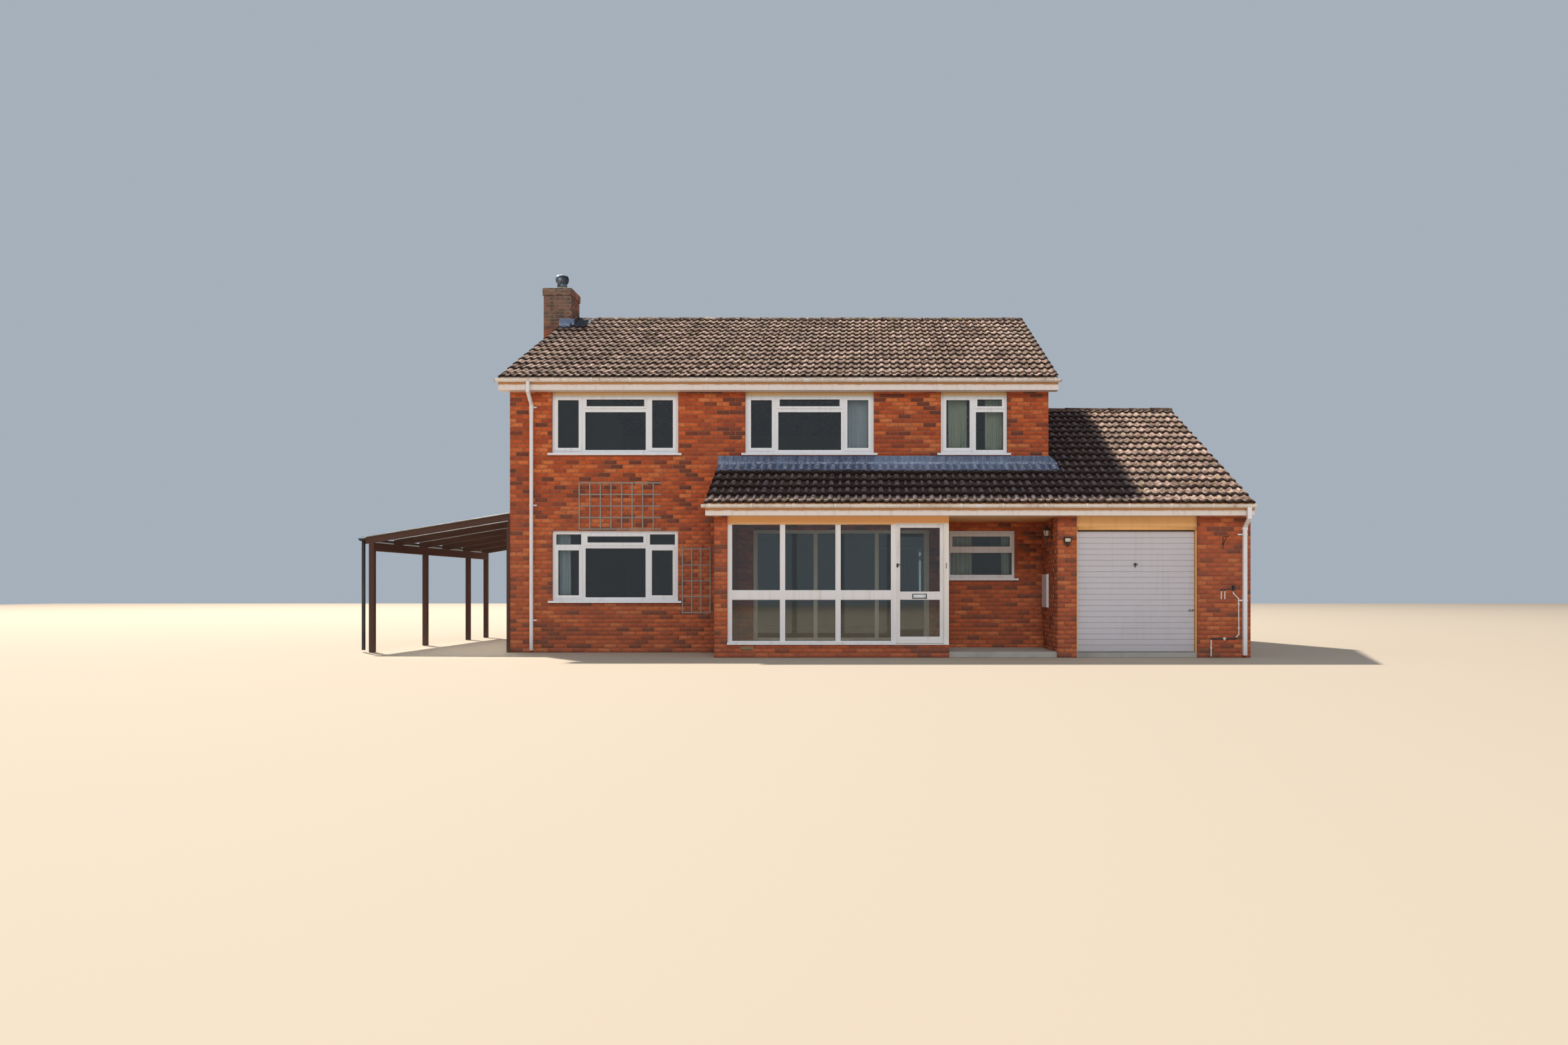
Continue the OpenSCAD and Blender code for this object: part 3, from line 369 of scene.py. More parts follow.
def weather_marks(nodes, given):
    """Rain streaks, splashed dirt near the ground, broad blotches and fine grain, 0 to 1."""
    streak = nodes.noise(1.0, 4, where=nodes.stretched(14, 14, 0.6))
    broad = nodes.noise(given["Broad"], 4, 0.6)
    fine = nodes.noise(given["Fine"], 5, 0.7)
    splash = (nodes.spot["Z"] + broad * 0.3).between(given["Reach"], 0.05)
    return {"Streak": streak.between(0.48, 0.78), "Splash": splash,
            "Blotch": broad.between(0.42, 0.72), "Grain": fine}


def lichen_spots(nodes, given):
    """Round pale patches, their edges made ragged by the square of a noise colour added to
    the place, and soft dark growth between them."""
    warp = nodes.put("TexNoise", "Color", {"Vector": nodes.where, "Scale": 28.0, "Detail": 3.0})
    moved = nodes.put("VectorMath", 0, {0: warp, 1: warp, 2: nodes.where},
                      operation="MULTIPLY_ADD")
    cells = nodes.put("TexVoronoi", "Distance", {"Vector": moved, "Scale": given["Size"]})
    share = nodes.noise(1.1, 4, 0.6) * given["Cover"]
    return {"Pale": cells.maths("LESS_THAN", share),
            "Moss": nodes.noise(9.0, 5, 0.65).between(0.5, 0.72)}


def timber_grain(nodes, given):
    """Long fibres along one axis, worked out by stretching noise, and slow bands."""
    along = nodes.put("VectorMath", 0, {0: nodes.where, 1: given["Squeeze"]},
                      operation="MULTIPLY")
    return {"Fibre": nodes.noise(55.0, 5, 0.7, along), "Band": nodes.noise(9.0, 3, where=along)}


MARKS = group_of("weather_marks", {"Broad": 1.3, "Fine": 160.0, "Reach": 0.55},
                 ("Streak", "Splash", "Blotch", "Grain"), weather_marks)
LICHEN = group_of("lichen_spots", {"Size": 26.0, "Cover": 0.6}, ("Pale", "Moss"), lichen_spots)
GRAIN = group_of("timber_grain", {"Squeeze": (1.0, 0.06, 1.0)}, ("Fibre", "Band"), timber_grain)


class Skin(Nodes):
    """A material with its surface shader."""

    def __init__(self, name):
        self.made = bpy.data.materials.new(name)
        self.made.use_nodes = True
        super().__init__(self.made.node_tree)
        self.tree.nodes.clear()
        self.shader = self.node("BsdfPrincipled")
        out = self.node("OutputMaterial")
        self.tree.links.new(self.shader.outputs[0], out.inputs[0])

    def marks(self, broad=1.3, fine=160.0, reach=0.55):
        return self.group(MARKS, Broad=broad, Fine=fine, Reach=reach)

    def finish(self, colour, rough, height=None, depth=0.0, **others):
        """Sets the surface and gives the material: a field is linked, and a number or colour
        goes on the shader's own socket. The height field makes a bump of that depth."""
        values = {key.replace("_", " "): value for key, value in others.items()}
        values.update({"Base Color": colour, "Roughness": rough})
        if height is not None:
            values["Normal"] = self.put("Bump", 0, {"Height": height, "Distance": depth,
                                                    "Strength": 1.0})
        for key, value in values.items():
            if isinstance(value, Field):
                self.tree.links.new(value.socket, self.shader.inputs[key])
            else:
                self.shader.inputs[key].default_value = value
        return self.made


def coated(name, colour, dirt, rough, streak=0.25, splash=0.3, blotch=0.2, grain=0.00015,
           metallic=0.0, fine=160.0, reach=0.55, broad=1.3, coat=0.0):
    """A paint, plastic or metal skin that has collected rain streaks, splashes and blotches."""
    skin = Skin(name)
    m = skin.marks(broad, fine, reach)
    share = (m["Streak"] * streak).maths("MAXIMUM", m["Splash"] * splash)
    return skin.finish(blend(share.plus(m["Blotch"] * blotch), colour, dirt),
                       m["Grain"] * 0.18 + (rough - 0.06), m["Grain"], grain,
                       Metallic=metallic, Coat_Weight=coat)


def brick_faces():
    """Wire-cut facing bricks: each has its own tone, from burnt brown to orange red. The
    lowest courses are splashed dark. The stack above the roof has a grey growth, thinner on
    the side that faces the roof, and sooty patches."""
    skin = Skin("facing_brick")
    m, spot = skin.marks(0.9, 230.0, 0.24), skin.spot
    colour = skin.steps(skin.attribute("tone"), (
        (0.0, (0.120, 0.032, 0.022)), (0.09, (0.200, 0.040, 0.021)),
        (0.16, (0.375, 0.057, 0.017)), (0.45, (0.500, 0.078, 0.017)),
        (0.75, (0.640, 0.114, 0.022)), (1.0, (0.740, 0.205, 0.058))))
    drag = skin.noise(42.0, 4, 0.65, skin.stretched(1, 1, 5))
    high = (spot["Z"] + drag * 0.5).between(6.5, 7.1)
    away = spot["X"].between(-4.70, -4.74)
    outside = spot["X"].between(-4.6, -4.66)
    growth = high * (away * 0.35 + 0.45) * outside
    soot = skin.noise(5.0, 5, 0.7).between(0.46, 0.60) * outside * high
    colour = layered(
        colour,
        (drag.between(0.45, 0.8) * 0.35, (0.62, 0.27, 0.13)),
        (skin.noise(24.0, 5, 0.72).between(0.47, 0.66) * 0.55, (0.20, 0.042, 0.020)),
        (m["Blotch"] * 0.25, (0.17, 0.062, 0.045)),
        (m["Splash"] * 0.62, (0.17, 0.066, 0.052)),
        (spot["Z"].between(3.2, 1.4) * 0.30, (0.33, 0.135, 0.085)),
        (growth, (0.175, 0.142, 0.110)),
        (soot * 0.7, (0.055, 0.045, 0.040)))
    return skin.finish(colour, 0.9, m["Grain"] + drag, 0.0015)


def brickwork():
    """Brick and mortar worked out on the solid: the mortar between the facing bricks, and
    the bricks of reveals. Inside the main block, more than 270 mm behind its faces, the
    walls are plastered."""
    skin = Skin("brickwork")
    m, spot = skin.marks(1.1, 260.0, 0.3), skin.spot
    face = skin.fields(skin.node("SeparateXYZ", {"Vector": skin.put("NewGeometry", "Normal")}))
    sideways = abs(face["X"]).maths("GREATER_THAN", 0.5)
    along = skin.put("Mix", 0, {0: sideways, 2: spot["X"], 3: spot["Y"]})
    pattern = skin.put("TexBrick", "Color", {
        "Vector": skin.put("CombineXYZ", 0, {"X": along, "Y": spot["Z"]}),
        "Color1": (0.33, 0.085, 0.036, 1), "Color2": (0.44, 0.12, 0.048, 1),
        "Mortar": (0.325, 0.148, 0.074, 1), "Scale": 1.0, "Mortar Size": 0.006,
        "Mortar Smooth": 0.3, "Brick Width": LENGTH, "Row Height": COURSE, "Bias": 0.0})
    stack = spot["Z"].between(6.7, 6.9) * spot["X"].between(-4.66, -4.68)
    inside = (abs(spot["X"]).between(RIGHT - 0.268, RIGHT - 0.272)
              * abs(spot["Y"]).between(BACK - 0.268, BACK - 0.272))
    colour = layered(
        pattern,
        (m["Blotch"] * 0.35, (0.22, 0.115, 0.075)),
        (m["Splash"] * 0.35, (0.34, 0.25, 0.19)),
        (stack * (m["Blotch"] * -0.6 + 0.9), (0.36, 0.31, 0.25)),
        (inside, (0.52, 0.48, 0.41)))
    return skin.finish(colour, 0.95, m["Grain"], 0.0025)


def tile_clay(name, base, light, dark, cover=0.62, tail_shadow=0.78):
    """Sanded concrete tiles under pale lichen and dark growth, each with its own tone.

    The edge attribute is 1 at a tile's tail and fades up its length, and crest is 1 on its
    rolls and 0 in its pans. A near-black band of painted shadow lies at the tails, with a
    ragged upper limit, the pans are painted darker as shade between the rolls, and the tiles
    along the main roof's verges are painted dark as shade. The part of the low roof that the
    house shades, in front of the main wall and beside its gable, is painted as shadow, near
    black with a painted sky sheen on the rolls, but for the sunny foot of the eaves row."""
    skin = Skin(name)
    m, spot, crest = skin.marks(0.7, 300.0, -1.0), skin.spot, skin.attribute("crest")
    spots = skin.group(LICHEN, Cover=cover)
    blots = skin.group(LICHEN, Size=13.0, Cover=cover * 0.72)
    fleck, patch = skin.noise(46.0, 5, 0.7), skin.noise(16.0, 4, 0.65)
    # Painted shade: the pans between the rolls are darkened
    pan_shade = (patch + 0.42).maths("SUBTRACT", crest, clamp=True)
    black = skin.noise(8.5, 4, 0.66, skin.stretched(1.0, 1.3, 1.3))
    # Painted shade: the tiles along the main roof's verges are darkened
    verge = ((abs(spot["X"]) + patch * 0.10).between(VERGE - 0.04, VERGE + 0.02)
             * spot["Z"].between(4.80, 4.90))
    # Painted shadow: the low roof in front of the main wall and beside the gable, where the
    # house's shadow falls, less the sunlit foot of the eaves row; pale lichen is thinned there
    shade = ((spot["Z"] + patch * 0.10).between(2.655, 2.70) * spot["Z"].between(4.85, 4.82)
             * spot["Y"].between(-1.0, -1.1)
             * (spot["X"] + patch * 0.5).between(RIGHT + 1.62, RIGHT + 1.42))
    # Colour of the painted shadow: near black, with a painted sky sheen on the rolls' crests
    crown = crest.between(0.45, 1.0) * skin.noise(11.0, 4, 0.66).between(0.38, 0.58)
    shadow_colour = blend(crown, (0.012, 0.007, 0.008), (0.185, 0.145, 0.175))
    # Painted shadow at the tails: a near-black band up from each nose, its top made ragged
    ragged = skin.attribute("edge") + (fleck - 0.5) * 0.34
    colour = layered(
        skin.steps(skin.attribute("tone"), ((0.0, dark), (0.45, base), (1.0, light))),
        (skin.noise(7.0, 3, 0.6).between(0.54, 0.68) * 0.5, (0.36, 0.19, 0.135)),
        (pan_shade * 0.55, (0.13, 0.085, 0.065)),
        (skin.noise(24.0, 4, 0.7).between(0.46, 0.62) * 0.55, (0.125, 0.066, 0.048)),
        (skin.noise(10.0, 4, 0.66).between(0.52, 0.60) * 0.55, (0.80, 0.57, 0.48)),
        (black.between(0.52, 0.60) * 0.82, (0.060, 0.030, 0.022)),
        (verge * 0.85, (0.060, 0.026, 0.020)),
        (skin.noise(6.3, 4, 0.6).between(0.55, 0.62) * 0.42, (0.36, 0.30, 0.11)),
        (shade * 0.93, shadow_colour),
        (spots["Pale"] * (0.6 - shade * 0.30), (0.66, 0.55, 0.46)),
        (blots["Pale"] * (0.75 - shade * 0.35), (0.80, 0.68, 0.58)),
        (spots["Moss"] * 0.55, (0.075, 0.062, 0.042)),
        (fleck.between(0.55, 0.68) * 0.5, (0.06, 0.040, 0.034)),
        (ragged.between(tail_shadow, tail_shadow + 0.08) * 0.95, (0.018, 0.008, 0.006)))
    return skin.finish(colour, 0.93, m["Grain"] + spots["Pale"], 0.0022,
                       Specular_IOR_Level=0.12)


def timber(name, light, dark, squeeze, rough=0.75):
    """Stained timber with its fibres along one axis."""
    skin = Skin(name)
    grain, m = skin.group(GRAIN, Squeeze=squeeze), skin.marks(1.5, 200.0, 0.4)
    share = (grain["Fibre"] * 0.6).plus(grain["Band"] * 0.5)
    colour = blend(m["Splash"] * 0.4, blend(share, dark, light), (0.12, 0.11, 0.09))
    return skin.finish(colour, rough, grain["Fibre"], 0.0012)


def glass(name, tint, rough=0.02):
    """Window glass: a plain clear shader whose gloss has faint dust."""
    skin = Skin(name)
    dust = skin.marks(1.1, 90.0, 0.3)["Blotch"]
    return skin.finish((*tint, 1.0), dust * 0.03 + rough, Transmission_Weight=1.0, IOR=1.52)


def concrete():
    skin = Skin("concrete")
    m = skin.marks(1.6, 240.0, -1.0)
    return skin.finish(blend(m["Blotch"], (0.42, 0.40, 0.36), (0.30, 0.285, 0.26)), 0.92,
                       m["Grain"], 0.002)


def banded(name, colour, stain, bands, rough=0.45):
    """Paint with ragged bands of another colour at some heights, for stain and for painted warm
    light under gutters and eaves: each band is (lowest, highest, colour, how ragged), and
    noise pulls its edges up and down."""
    skin = Skin(name)
    m = skin.marks(1.6, 90.0, -1.0)
    pull = skin.noise(1.0, 4, 0.65, skin.stretched(9, 9, 1))
    mixed = blend(m["Streak"] * 0.28, colour, stain)
    for low, high, tint, ragged in bands:
        level = skin.spot["Z"] + (pull - 0.5) * ragged
        inside = level.between(low - 0.008, low + 0.004) * level.between(high, high - 0.004)
        mixed = blend(inside * 0.88, mixed, tint)
    return skin.finish(mixed, rough, m["Grain"], 0.0003)


def pipework():
    """White pipe of the outside tap, whose tap, rail and lowest run are dark."""
    skin = Skin("tap_pipework")
    m, spot = skin.marks(3.0, 160.0, 0.2), skin.spot
    upper = spot["Z"].between(1.100, 1.106)
    lower = (spot["Z"].between(0.296, 0.300) * spot["Z"].between(0.338, 0.334)
             * abs(spot["X"] - 7.511).between(0.024, 0.028))
    colour = layered((0.74, 0.68, 0.62), (m["Streak"] * 0.4, (0.35, 0.25, 0.18)),
                     (upper.maths("MAXIMUM", lower), (0.030, 0.036, 0.048)))
    return skin.finish(colour, m["Grain"] * 0.2 + 0.3, m["Grain"], 0.0002)


def lead_sheet():
    """Lead sheet, each with its own tone, weathered in streaks that run down it, and pale on
    the folds and on the rolls that it is beaten over, where crest is 1: partly white patina and
    partly a painted highlight."""
    skin = Skin("lead_sheet")
    m = skin.marks(3.4, 220.0, -1.0)
    run = skin.noise(21.0, 5, 0.7, skin.stretched(1, 1, 0.16))
    cloud = skin.noise(9.0, 5, 0.68)
    share = (run - 0.5) * 2.2 + cloud * 0.9
    share = share.plus((skin.attribute("tone") - 0.55) * 0.55)
    patina_and_highlight = skin.attribute("crest") * skin.noise(30.0, 4, 0.7).between(0.40, 0.60)
    colour = layered((0.048, 0.066, 0.128), (share, (0.205, 0.270, 0.410)),
                     (patina_and_highlight * 0.85, (0.56, 0.63, 0.74)))
    return skin.finish(colour, 0.48, m["Grain"] + cloud, 0.006, Metallic=0.2)


def cloth(name, colour, shade):
    """Curtain cloth: a fine weave of waves, and soft shade between."""
    skin = Skin(name)
    weave = skin.put("TexWave", "Fac", {"Vector": skin.where, "Scale": 420.0,
                                        "Distortion": 0.4}, bands_direction="Z")
    share = (weave * 0.3).plus(skin.noise(6.0, 3) * 0.4)
    return skin.finish(blend(share, colour, shade), 0.9, weave, 0.0003, Sheen_Weight=0.2)


BRICK_FACE = brick_faces()
BRICKWORK = brickwork()
TILE = tile_clay("roof_tile", (0.430, 0.268, 0.205), (0.720, 0.490, 0.395),
                 (0.140, 0.076, 0.058), tail_shadow=0.70)
RIDGE_TILE = tile_clay("ridge_tile", (0.130, 0.100, 0.080), (0.240, 0.185, 0.145),
                       (0.070, 0.055, 0.042), 0.5)
LEAD = lead_sheet()
OLD_LEAD = coated("blackened_lead", (0.024, 0.027, 0.036), (0.060, 0.066, 0.080), 0.8, 0.4,
                  0.0, 0.5, 0.0015, 0.0, 60.0, -1.0, 6.0)
# Window white; the golden band at the heads of the upper windows is painted shade and warm bounced
# light under the soffit
UPVC = banded("window_white", (0.80, 0.81, 0.84), (0.47, 0.38, 0.28),
              ((4.622, 4.75, (0.80, 0.52, 0.20), 0.012),), 0.34)
GUTTER_WHITE = coated("gutter_white", (0.80, 0.74, 0.69), (0.33, 0.21, 0.125), 0.36, 0.5,
                      0.5, 0.28)
PIPE_WHITE = coated("pipe_white", (0.84, 0.83, 0.86), (0.46, 0.36, 0.28), 0.34, 0.22, 0.4,
                    0.2)
PAINT = coated("white_paint", (0.79, 0.77, 0.78), (0.42, 0.30, 0.20), 0.45, 0.34, 0.5, 0.16,
               0.0003, fine=90.0)
# Fascia paint: the ochre bands at the fascias' tops, behind the gutters, are partly stain and
# partly painted warm bounced light in the gutters' shade; the golden band under the low soffit is
# partly cream paint and partly painted warm bounced light
FASCIA = banded("fascia_paint", (0.78, 0.71, 0.68), (0.42, 0.25, 0.14),
                ((4.778, 4.90, (0.60, 0.27, 0.070), 0.05),
                 (2.432, 2.56, (0.60, 0.27, 0.070), 0.05),
                 (2.100, 2.344, (0.88, 0.40, 0.075), 0.006)))
# Porch screen paint, golden at its head under the eaves: partly cream paint and partly painted
# warm bounced light
SCREEN_PAINT = banded("screen_paint", (0.79, 0.77, 0.78), (0.42, 0.30, 0.20),
                      ((2.215, 2.50, (0.88, 0.46, 0.13), 0.05),))
HALL_PAINT = coated("hall_paint", (0.86, 0.80, 0.68), (0.60, 0.50, 0.36), 0.45, 0.25, 0.2,
                    0.16, 0.0003, fine=90.0)
CREAM = coated("cream_paint", (0.88, 0.48, 0.180), (0.60, 0.30, 0.10), 0.5, 0.3, 0.3, 0.3,
               0.0003, fine=90.0)
# Porch door frame paint, golden at the board over the screen: partly cream paint and partly
# painted warm bounced light under the eaves
FRAME_CREAM = banded("door_frame_paint", (0.80, 0.76, 0.72), (0.46, 0.32, 0.18),
                     ((2.238, 2.50, (0.88, 0.38, 0.070), 0.01),))
ENAMEL = coated("door_enamel", (0.580, 0.560, 0.605), (0.36, 0.31, 0.29), 0.38, 0.2, 0.5, 0.1)
STEEL = coated("galvanised_steel", (0.50, 0.51, 0.52), (0.30, 0.29, 0.28), 0.42, 0.3, 0.2,
               0.4, metallic=0.9)
SPUN_METAL = coated("cowl_metal", (0.19, 0.22, 0.26), (0.040, 0.046, 0.048), 0.36, 0.5, 0.0,
                    0.8, metallic=0.8, broad=14.0)
BLACK_METAL = coated("black_metal", (0.022, 0.022, 0.024), (0.07, 0.06, 0.05), 0.42, 0.3,
                     0.2, 0.3)
BLACK_PLASTIC = coated("black_plastic", (0.02, 0.02, 0.022), (0.08, 0.075, 0.065), 0.45,
                       0.3, 0.3, 0.3)
CLAY = coated("clay_pot", (0.56, 0.51, 0.43), (0.16, 0.14, 0.12), 0.8, 0.4, 0.0, 0.6,
              0.001, broad=9.0)
MORTAR = coated("bedding_mortar", (0.33, 0.29, 0.24), (0.11, 0.10, 0.08), 0.95, 0.3, 0.0,
                0.6, 0.003, broad=6.0)
BUFF_CLAY = coated("buff_clay", (0.50, 0.33, 0.17), (0.22, 0.14, 0.09), 0.85, 0.3, 0.3, 0.4,
                   0.001, broad=8.0)
OAK, OAK_Y, OAK_Z = (
    timber("stained_timber_" + axis, (0.105, 0.042, 0.024), (0.026, 0.012, 0.009), squeeze)
    for axis, squeeze in (("x", (0.06, 1, 1)), ("y", (1, 0.06, 1)), ("z", (1, 1, 0.06))))
LATH = timber("weathered_lath", (0.40, 0.345, 0.30), (0.17, 0.145, 0.13), (1, 1, 0.1), 0.9)
BOARD = timber("floor_board", (0.50, 0.36, 0.22), (0.30, 0.20, 0.11), (1, 0.05, 1), 0.7)
GLASS = glass("window_glass", (0.80, 0.85, 0.83))
SHEET = glass("clear_sheet", (0.78, 0.80, 0.78), 0.18)
LAMP_GLASS = coated("lamp_glass", (0.74, 0.68, 0.52), (0.40, 0.33, 0.22), 0.16, 0.2, 0.0, 0.4,
                    0.0002, broad=22.0, coat=0.5)
CONCRETE = concrete()
PIPEWORK = pipework()
GREEN_CLOTH = cloth("curtain_green", (0.60, 0.62, 0.50), (0.36, 0.38, 0.28))
BLUE_CLOTH = cloth("curtain_blue", (0.60, 0.66, 0.74), (0.40, 0.45, 0.52))

# Finish of every solid that stays in sight
FINISHES = {
    BRICKWORK: "front_wall back_wall left_gable right_gable chimney_breast chimney_stack "
               "porch_wall garage_front_walls garage_party_wall garage_back_wall",
    CONCRETE: "ground_floor porch_floor garage_floor",
    BOARD: "first_floor",
    TILE: "front_roof_slope back_roof_slope low_front_slope low_back_slope",
    RIDGE_TILE: "ridge_tiles",
    LEAD: "lead_flashing",
    UPVC: "front_windows back_windows meter_box",
    GUTTER_WHITE: "gutters", PIPE_WHITE: "downpipes",
    FASCIA: "eaves_boards",
    PAINT: "bargeboards porch_return porch_door", HALL_PAINT: "hall_screen",
    SCREEN_PAINT: "porch_screen",
    CREAM: "porch_ceiling garage_door_frame",
    FRAME_CREAM: "porch_door_frame",
    GLASS: "front_glass back_glass porch_glass porch_door_glass",
    OAK: "carport_rafters", OAK_Y: "carport_beams", OAK_Z: "carport_posts",
    SHEET: "carport_sheet", BLACK_PLASTIC: "carport_gutter", LATH: "trellis",
    BLACK_METAL: "wall_lights porch_door_fittings garage_door_handle basket_bracket",
    ENAMEL: "garage_door", STEEL: "garage_door_tracks garage_door_rollers porch_door_hinges",
    SPUN_METAL: "rotary_cowl", CLAY: "chimney_pot", PIPEWORK: "outside_tap",
}
for finish, names in FINISHES.items():
    for name in names.split():
        NODES[name].data.materials.clear()
        NODES[name].data.materials.append(finish)


# Facing bricks
def brick_skin(seed, axis, side, plane, regions, top=None):
    """Facing bricks in stretcher bond on one upright face: along x for axis 0 and along y
    for axis 1, at the plane on the other axis, facing the way of side, 1 or -1.

    Brick (k, i) starts i lengths from the first region's start, and half a length on in odd
    courses, at k courses in height, less half a joint all round. It is cut to each region
    (along0, along1, z0, z1) and to a sloping top, with no sliver under the least size. Its
    face stands a few millimetres proud, with the arris taken off."""
    rng = np.random.default_rng(seed)
    regions = np.array(regions, float)
    start, arris, least = regions[0, 0], 0.0016, 0.012
    k = np.arange(int(regions[:, 2].min() / COURSE), int(regions[:, 3].max() / COURSE) + 1)
    i = np.arange(int((regions[:, 0].min() - start) / LENGTH) - 2,
                  int((regions[:, 1].max() - start) / LENGTH) + 2)
    kk, ii = np.meshgrid(k, i, indexing="ij")
    a0 = start + ii * LENGTH + (kk % 2) * LENGTH / 2 + JOINT / 2
    z0 = kk * COURSE + JOINT / 2 + rng.normal(0, 0.0008, kk.shape)
    a1, z1 = a0 + LENGTH - JOINT, z0 + COURSE - JOINT
    a0, a1 = a0 + rng.normal(0, 0.0015, a0.shape), a1 + rng.normal(0, 0.0015, a0.shape)
    tone = rng.uniform(0.17, 1, kk.shape)
    tone = np.where(rng.random(kk.shape) < 0.16, rng.uniform(0, 0.12, kk.shape), tone)
    out = 0.0035 + 0.0022 * rng.random(kk.shape)
    parts = []
    for r0, r1, low, high in regions:
        b0, b1 = np.clip(a0, r0, r1), np.clip(a1, r0, r1)
        b0 = np.where(b0 - r0 < least, r0, b0)
        b1 = np.where(r1 - b1 < least, r1, b1)
        c0, c1 = np.clip(z0, low, high), np.clip(z1, low, high)
        t0 = t1 = c1
        if top is not None:
            t0, t1 = np.minimum(c1, top(b0)), np.minimum(c1, top(b1))
        keep = (a1 > r0 + JOINT) & (a0 < r1 - JOINT) & (c1 - c0 > least)
        keep &= np.maximum(t0, t1) - c0 > least
        left, right = (b0 == a0) * arris, (b1 == a1) * arris
        foot, head = (c0 == z0) * arris, (c1 == z1) * arris
        t0, t1 = np.maximum(t0, c0 + 0.003), np.maximum(t1, c0 + 0.003)
        f0, f1, low_edge = b0 + left, b1 - right, c0 + foot
        loops = np.stack([b0, c0, b1, c0, b1, t1, b0, t0, f0, low_edge, f1, low_edge,
                          f1, t1 - head, f0, t0 - head], -1)[keep].reshape(-1, 8, 2)
        depth = np.repeat(np.stack([0 * out - 0.0005, out], -1)[keep], 4, 1)
        corners = np.empty((*depth.shape, 3))
        corners[..., axis] = loops[..., 0]
        corners[..., 1 - axis] = plane + side * depth
        corners[..., 2] = loops[..., 1]
        if (axis == 0) == (side > 0):
            corners = corners[:, [3, 2, 1, 0, 7, 6, 5, 4]]
        parts.append(hexahedra(corners, tone[keep]))
    return joined(parts)


def around_openings(a0, a1, z0, z1, holes):
    """Cuts a rectangle into regions that leave the holes out: bands between all the levels
    where a hole starts or ends, each split at the holes that cross it."""
    levels = sorted({z0, z1, *(min(max(z, z0), z1) for h in holes for z in h[2:])})
    regions = []
    for low, high in zip(levels[:-1], levels[1:]):
        crossing = sorted(h for h in holes if h[2] < high - 1e-6 and h[3] > low + 1e-6)
        at = a0
        for h in crossing:
            if h[0] > at:
                regions.append((at, h[0], low, high))
            at = max(at, h[1])
        if a1 > at:
            regions.append((at, a1, low, high))
    return regions


def hole(x, width, z, height):
    return (x, x + width, z - SILL, z + height)


def main_slope(y):
    return RIDGE - np.abs(y) * RISE - 0.05


def low_slope(y):
    return LOW_RIDGE - np.abs(y - LOW_RIDGE_Y) * RISE - 0.05


def bricks(name, *skins):
    """A piece of facing bricks; each of the skins is what brick_skin takes."""
    piece(name, [brick_skin(*skin) for skin in skins], BRICK_FACE)


def upper_holes(row):
    """Openings of an upper row, which run up to the soffit."""
    return [hole(x, w, UP_SILL, SOFFIT - UP_SILL) for x, w, _ in row]


# Where walls have no facing bricks: openings, the hall screen and the chimney breast
hall = (-0.47, 2.7, 0.2, 2.2)
front_holes = [*upper_holes(UPPER_ROW), hole(*LOW_WINDOW), hole(*RECESS_WINDOW), hall]
back_holes = upper_holes(BACK_UPPER) + [hole(x, w, *LOW_WINDOW[2:]) for x, w in BACK_LOWER]
breast, gable_top = (*STACK[2:], 0, 9), 6.95
bricks("front_bricks", (11, 0, -1, FRONT, around_openings(LEFT, RIGHT, 0, SOFFIT, front_holes)))
bricks("back_bricks", (12, 0, 1, BACK, around_openings(LEFT, RIGHT, 0, SOFFIT, back_holes)))
bricks("left_gable_bricks", (
    13, 1, -1, LEFT, around_openings(FRONT, BACK, 0, gable_top, [breast]), main_slope))
bricks("right_gable_bricks", (14, 1, 1, RIGHT, [(FRONT, BACK, 0, gable_top)], main_slope))

# The chimney: breast and stack, then the corbelled head, which stands out all round
s0, s1, s2, s3 = STACK
h0, h1, h2, h3 = s0 - CORBEL, s1 + CORBEL, s2 - CORBEL, s3 + CORBEL
across = [(s0, LEFT, 0, STACK_BASE), (s0, s1, STACK_BASE, HEAD)]
head_x, head_y = [(h0, h1, HEAD, STACK_TOP)], [(h2, h3, HEAD, STACK_TOP)]
bricks("chimney_bricks",
       (15, 0, -1, s2, across), (16, 0, 1, s3, across), (17, 1, -1, s0, [(s2, s3, 0, HEAD)]),
       (18, 1, 1, s1, [(s2, s3, STACK_BASE, HEAD)]), (19, 0, -1, h2, head_x),
       (20, 0, 1, h3, head_x), (21, 1, -1, h0, head_y), (22, 1, 1, h1, head_y))
bricks("porch_bricks", (23, 1, -1, PORCH, [(WING, FRONT, 0, 4)], low_slope), (
    24, 0, -1, WING, [(PORCH, PORCH + BRICK, 0, LOW_SOFFIT), (PORCH + BRICK, 2.94, 0, 0.212)]))
bricks("garage_bricks", (
    25, 0, -1, WING, [(RECESS, GARAGE[0], 0, LOW_SOFFIT), (GARAGE[1], PARTY, 0, LOW_SOFFIT)]),
    (26, 1, -1, RECESS, [(WING, FRONT, 0, LOW_SOFFIT)]),
    (27, 0, 1, WING_BACK, [(RIGHT, PARTY, 0, LOW_SOFFIT)]))


# Roof tiles
TILE_W, LAP, TILE_T = 0.2816, 0.075, 0.020
# Lift of a tile's tail off the tile below, and height of its underside over the slab's top
LIFT, BED = 0.027, -0.047
# Middle and half width of each roll, as shares of the width, and its height
ROLLS = ((0.25, 0.17, 0.030), (0.77, 0.12, 0.027))


def roll_height(u):
    """Height of a tile's top over its width u from 0 to 1: a wide roll and a narrow one, each
    the 0.7th power of a cosine over its half width, and flat pans between them."""
    return sum(tall * np.cos(0.5 * np.pi * np.clip((u - mid) / half, -1, 1)) ** 0.7
               for mid, half, tall in ROLLS)


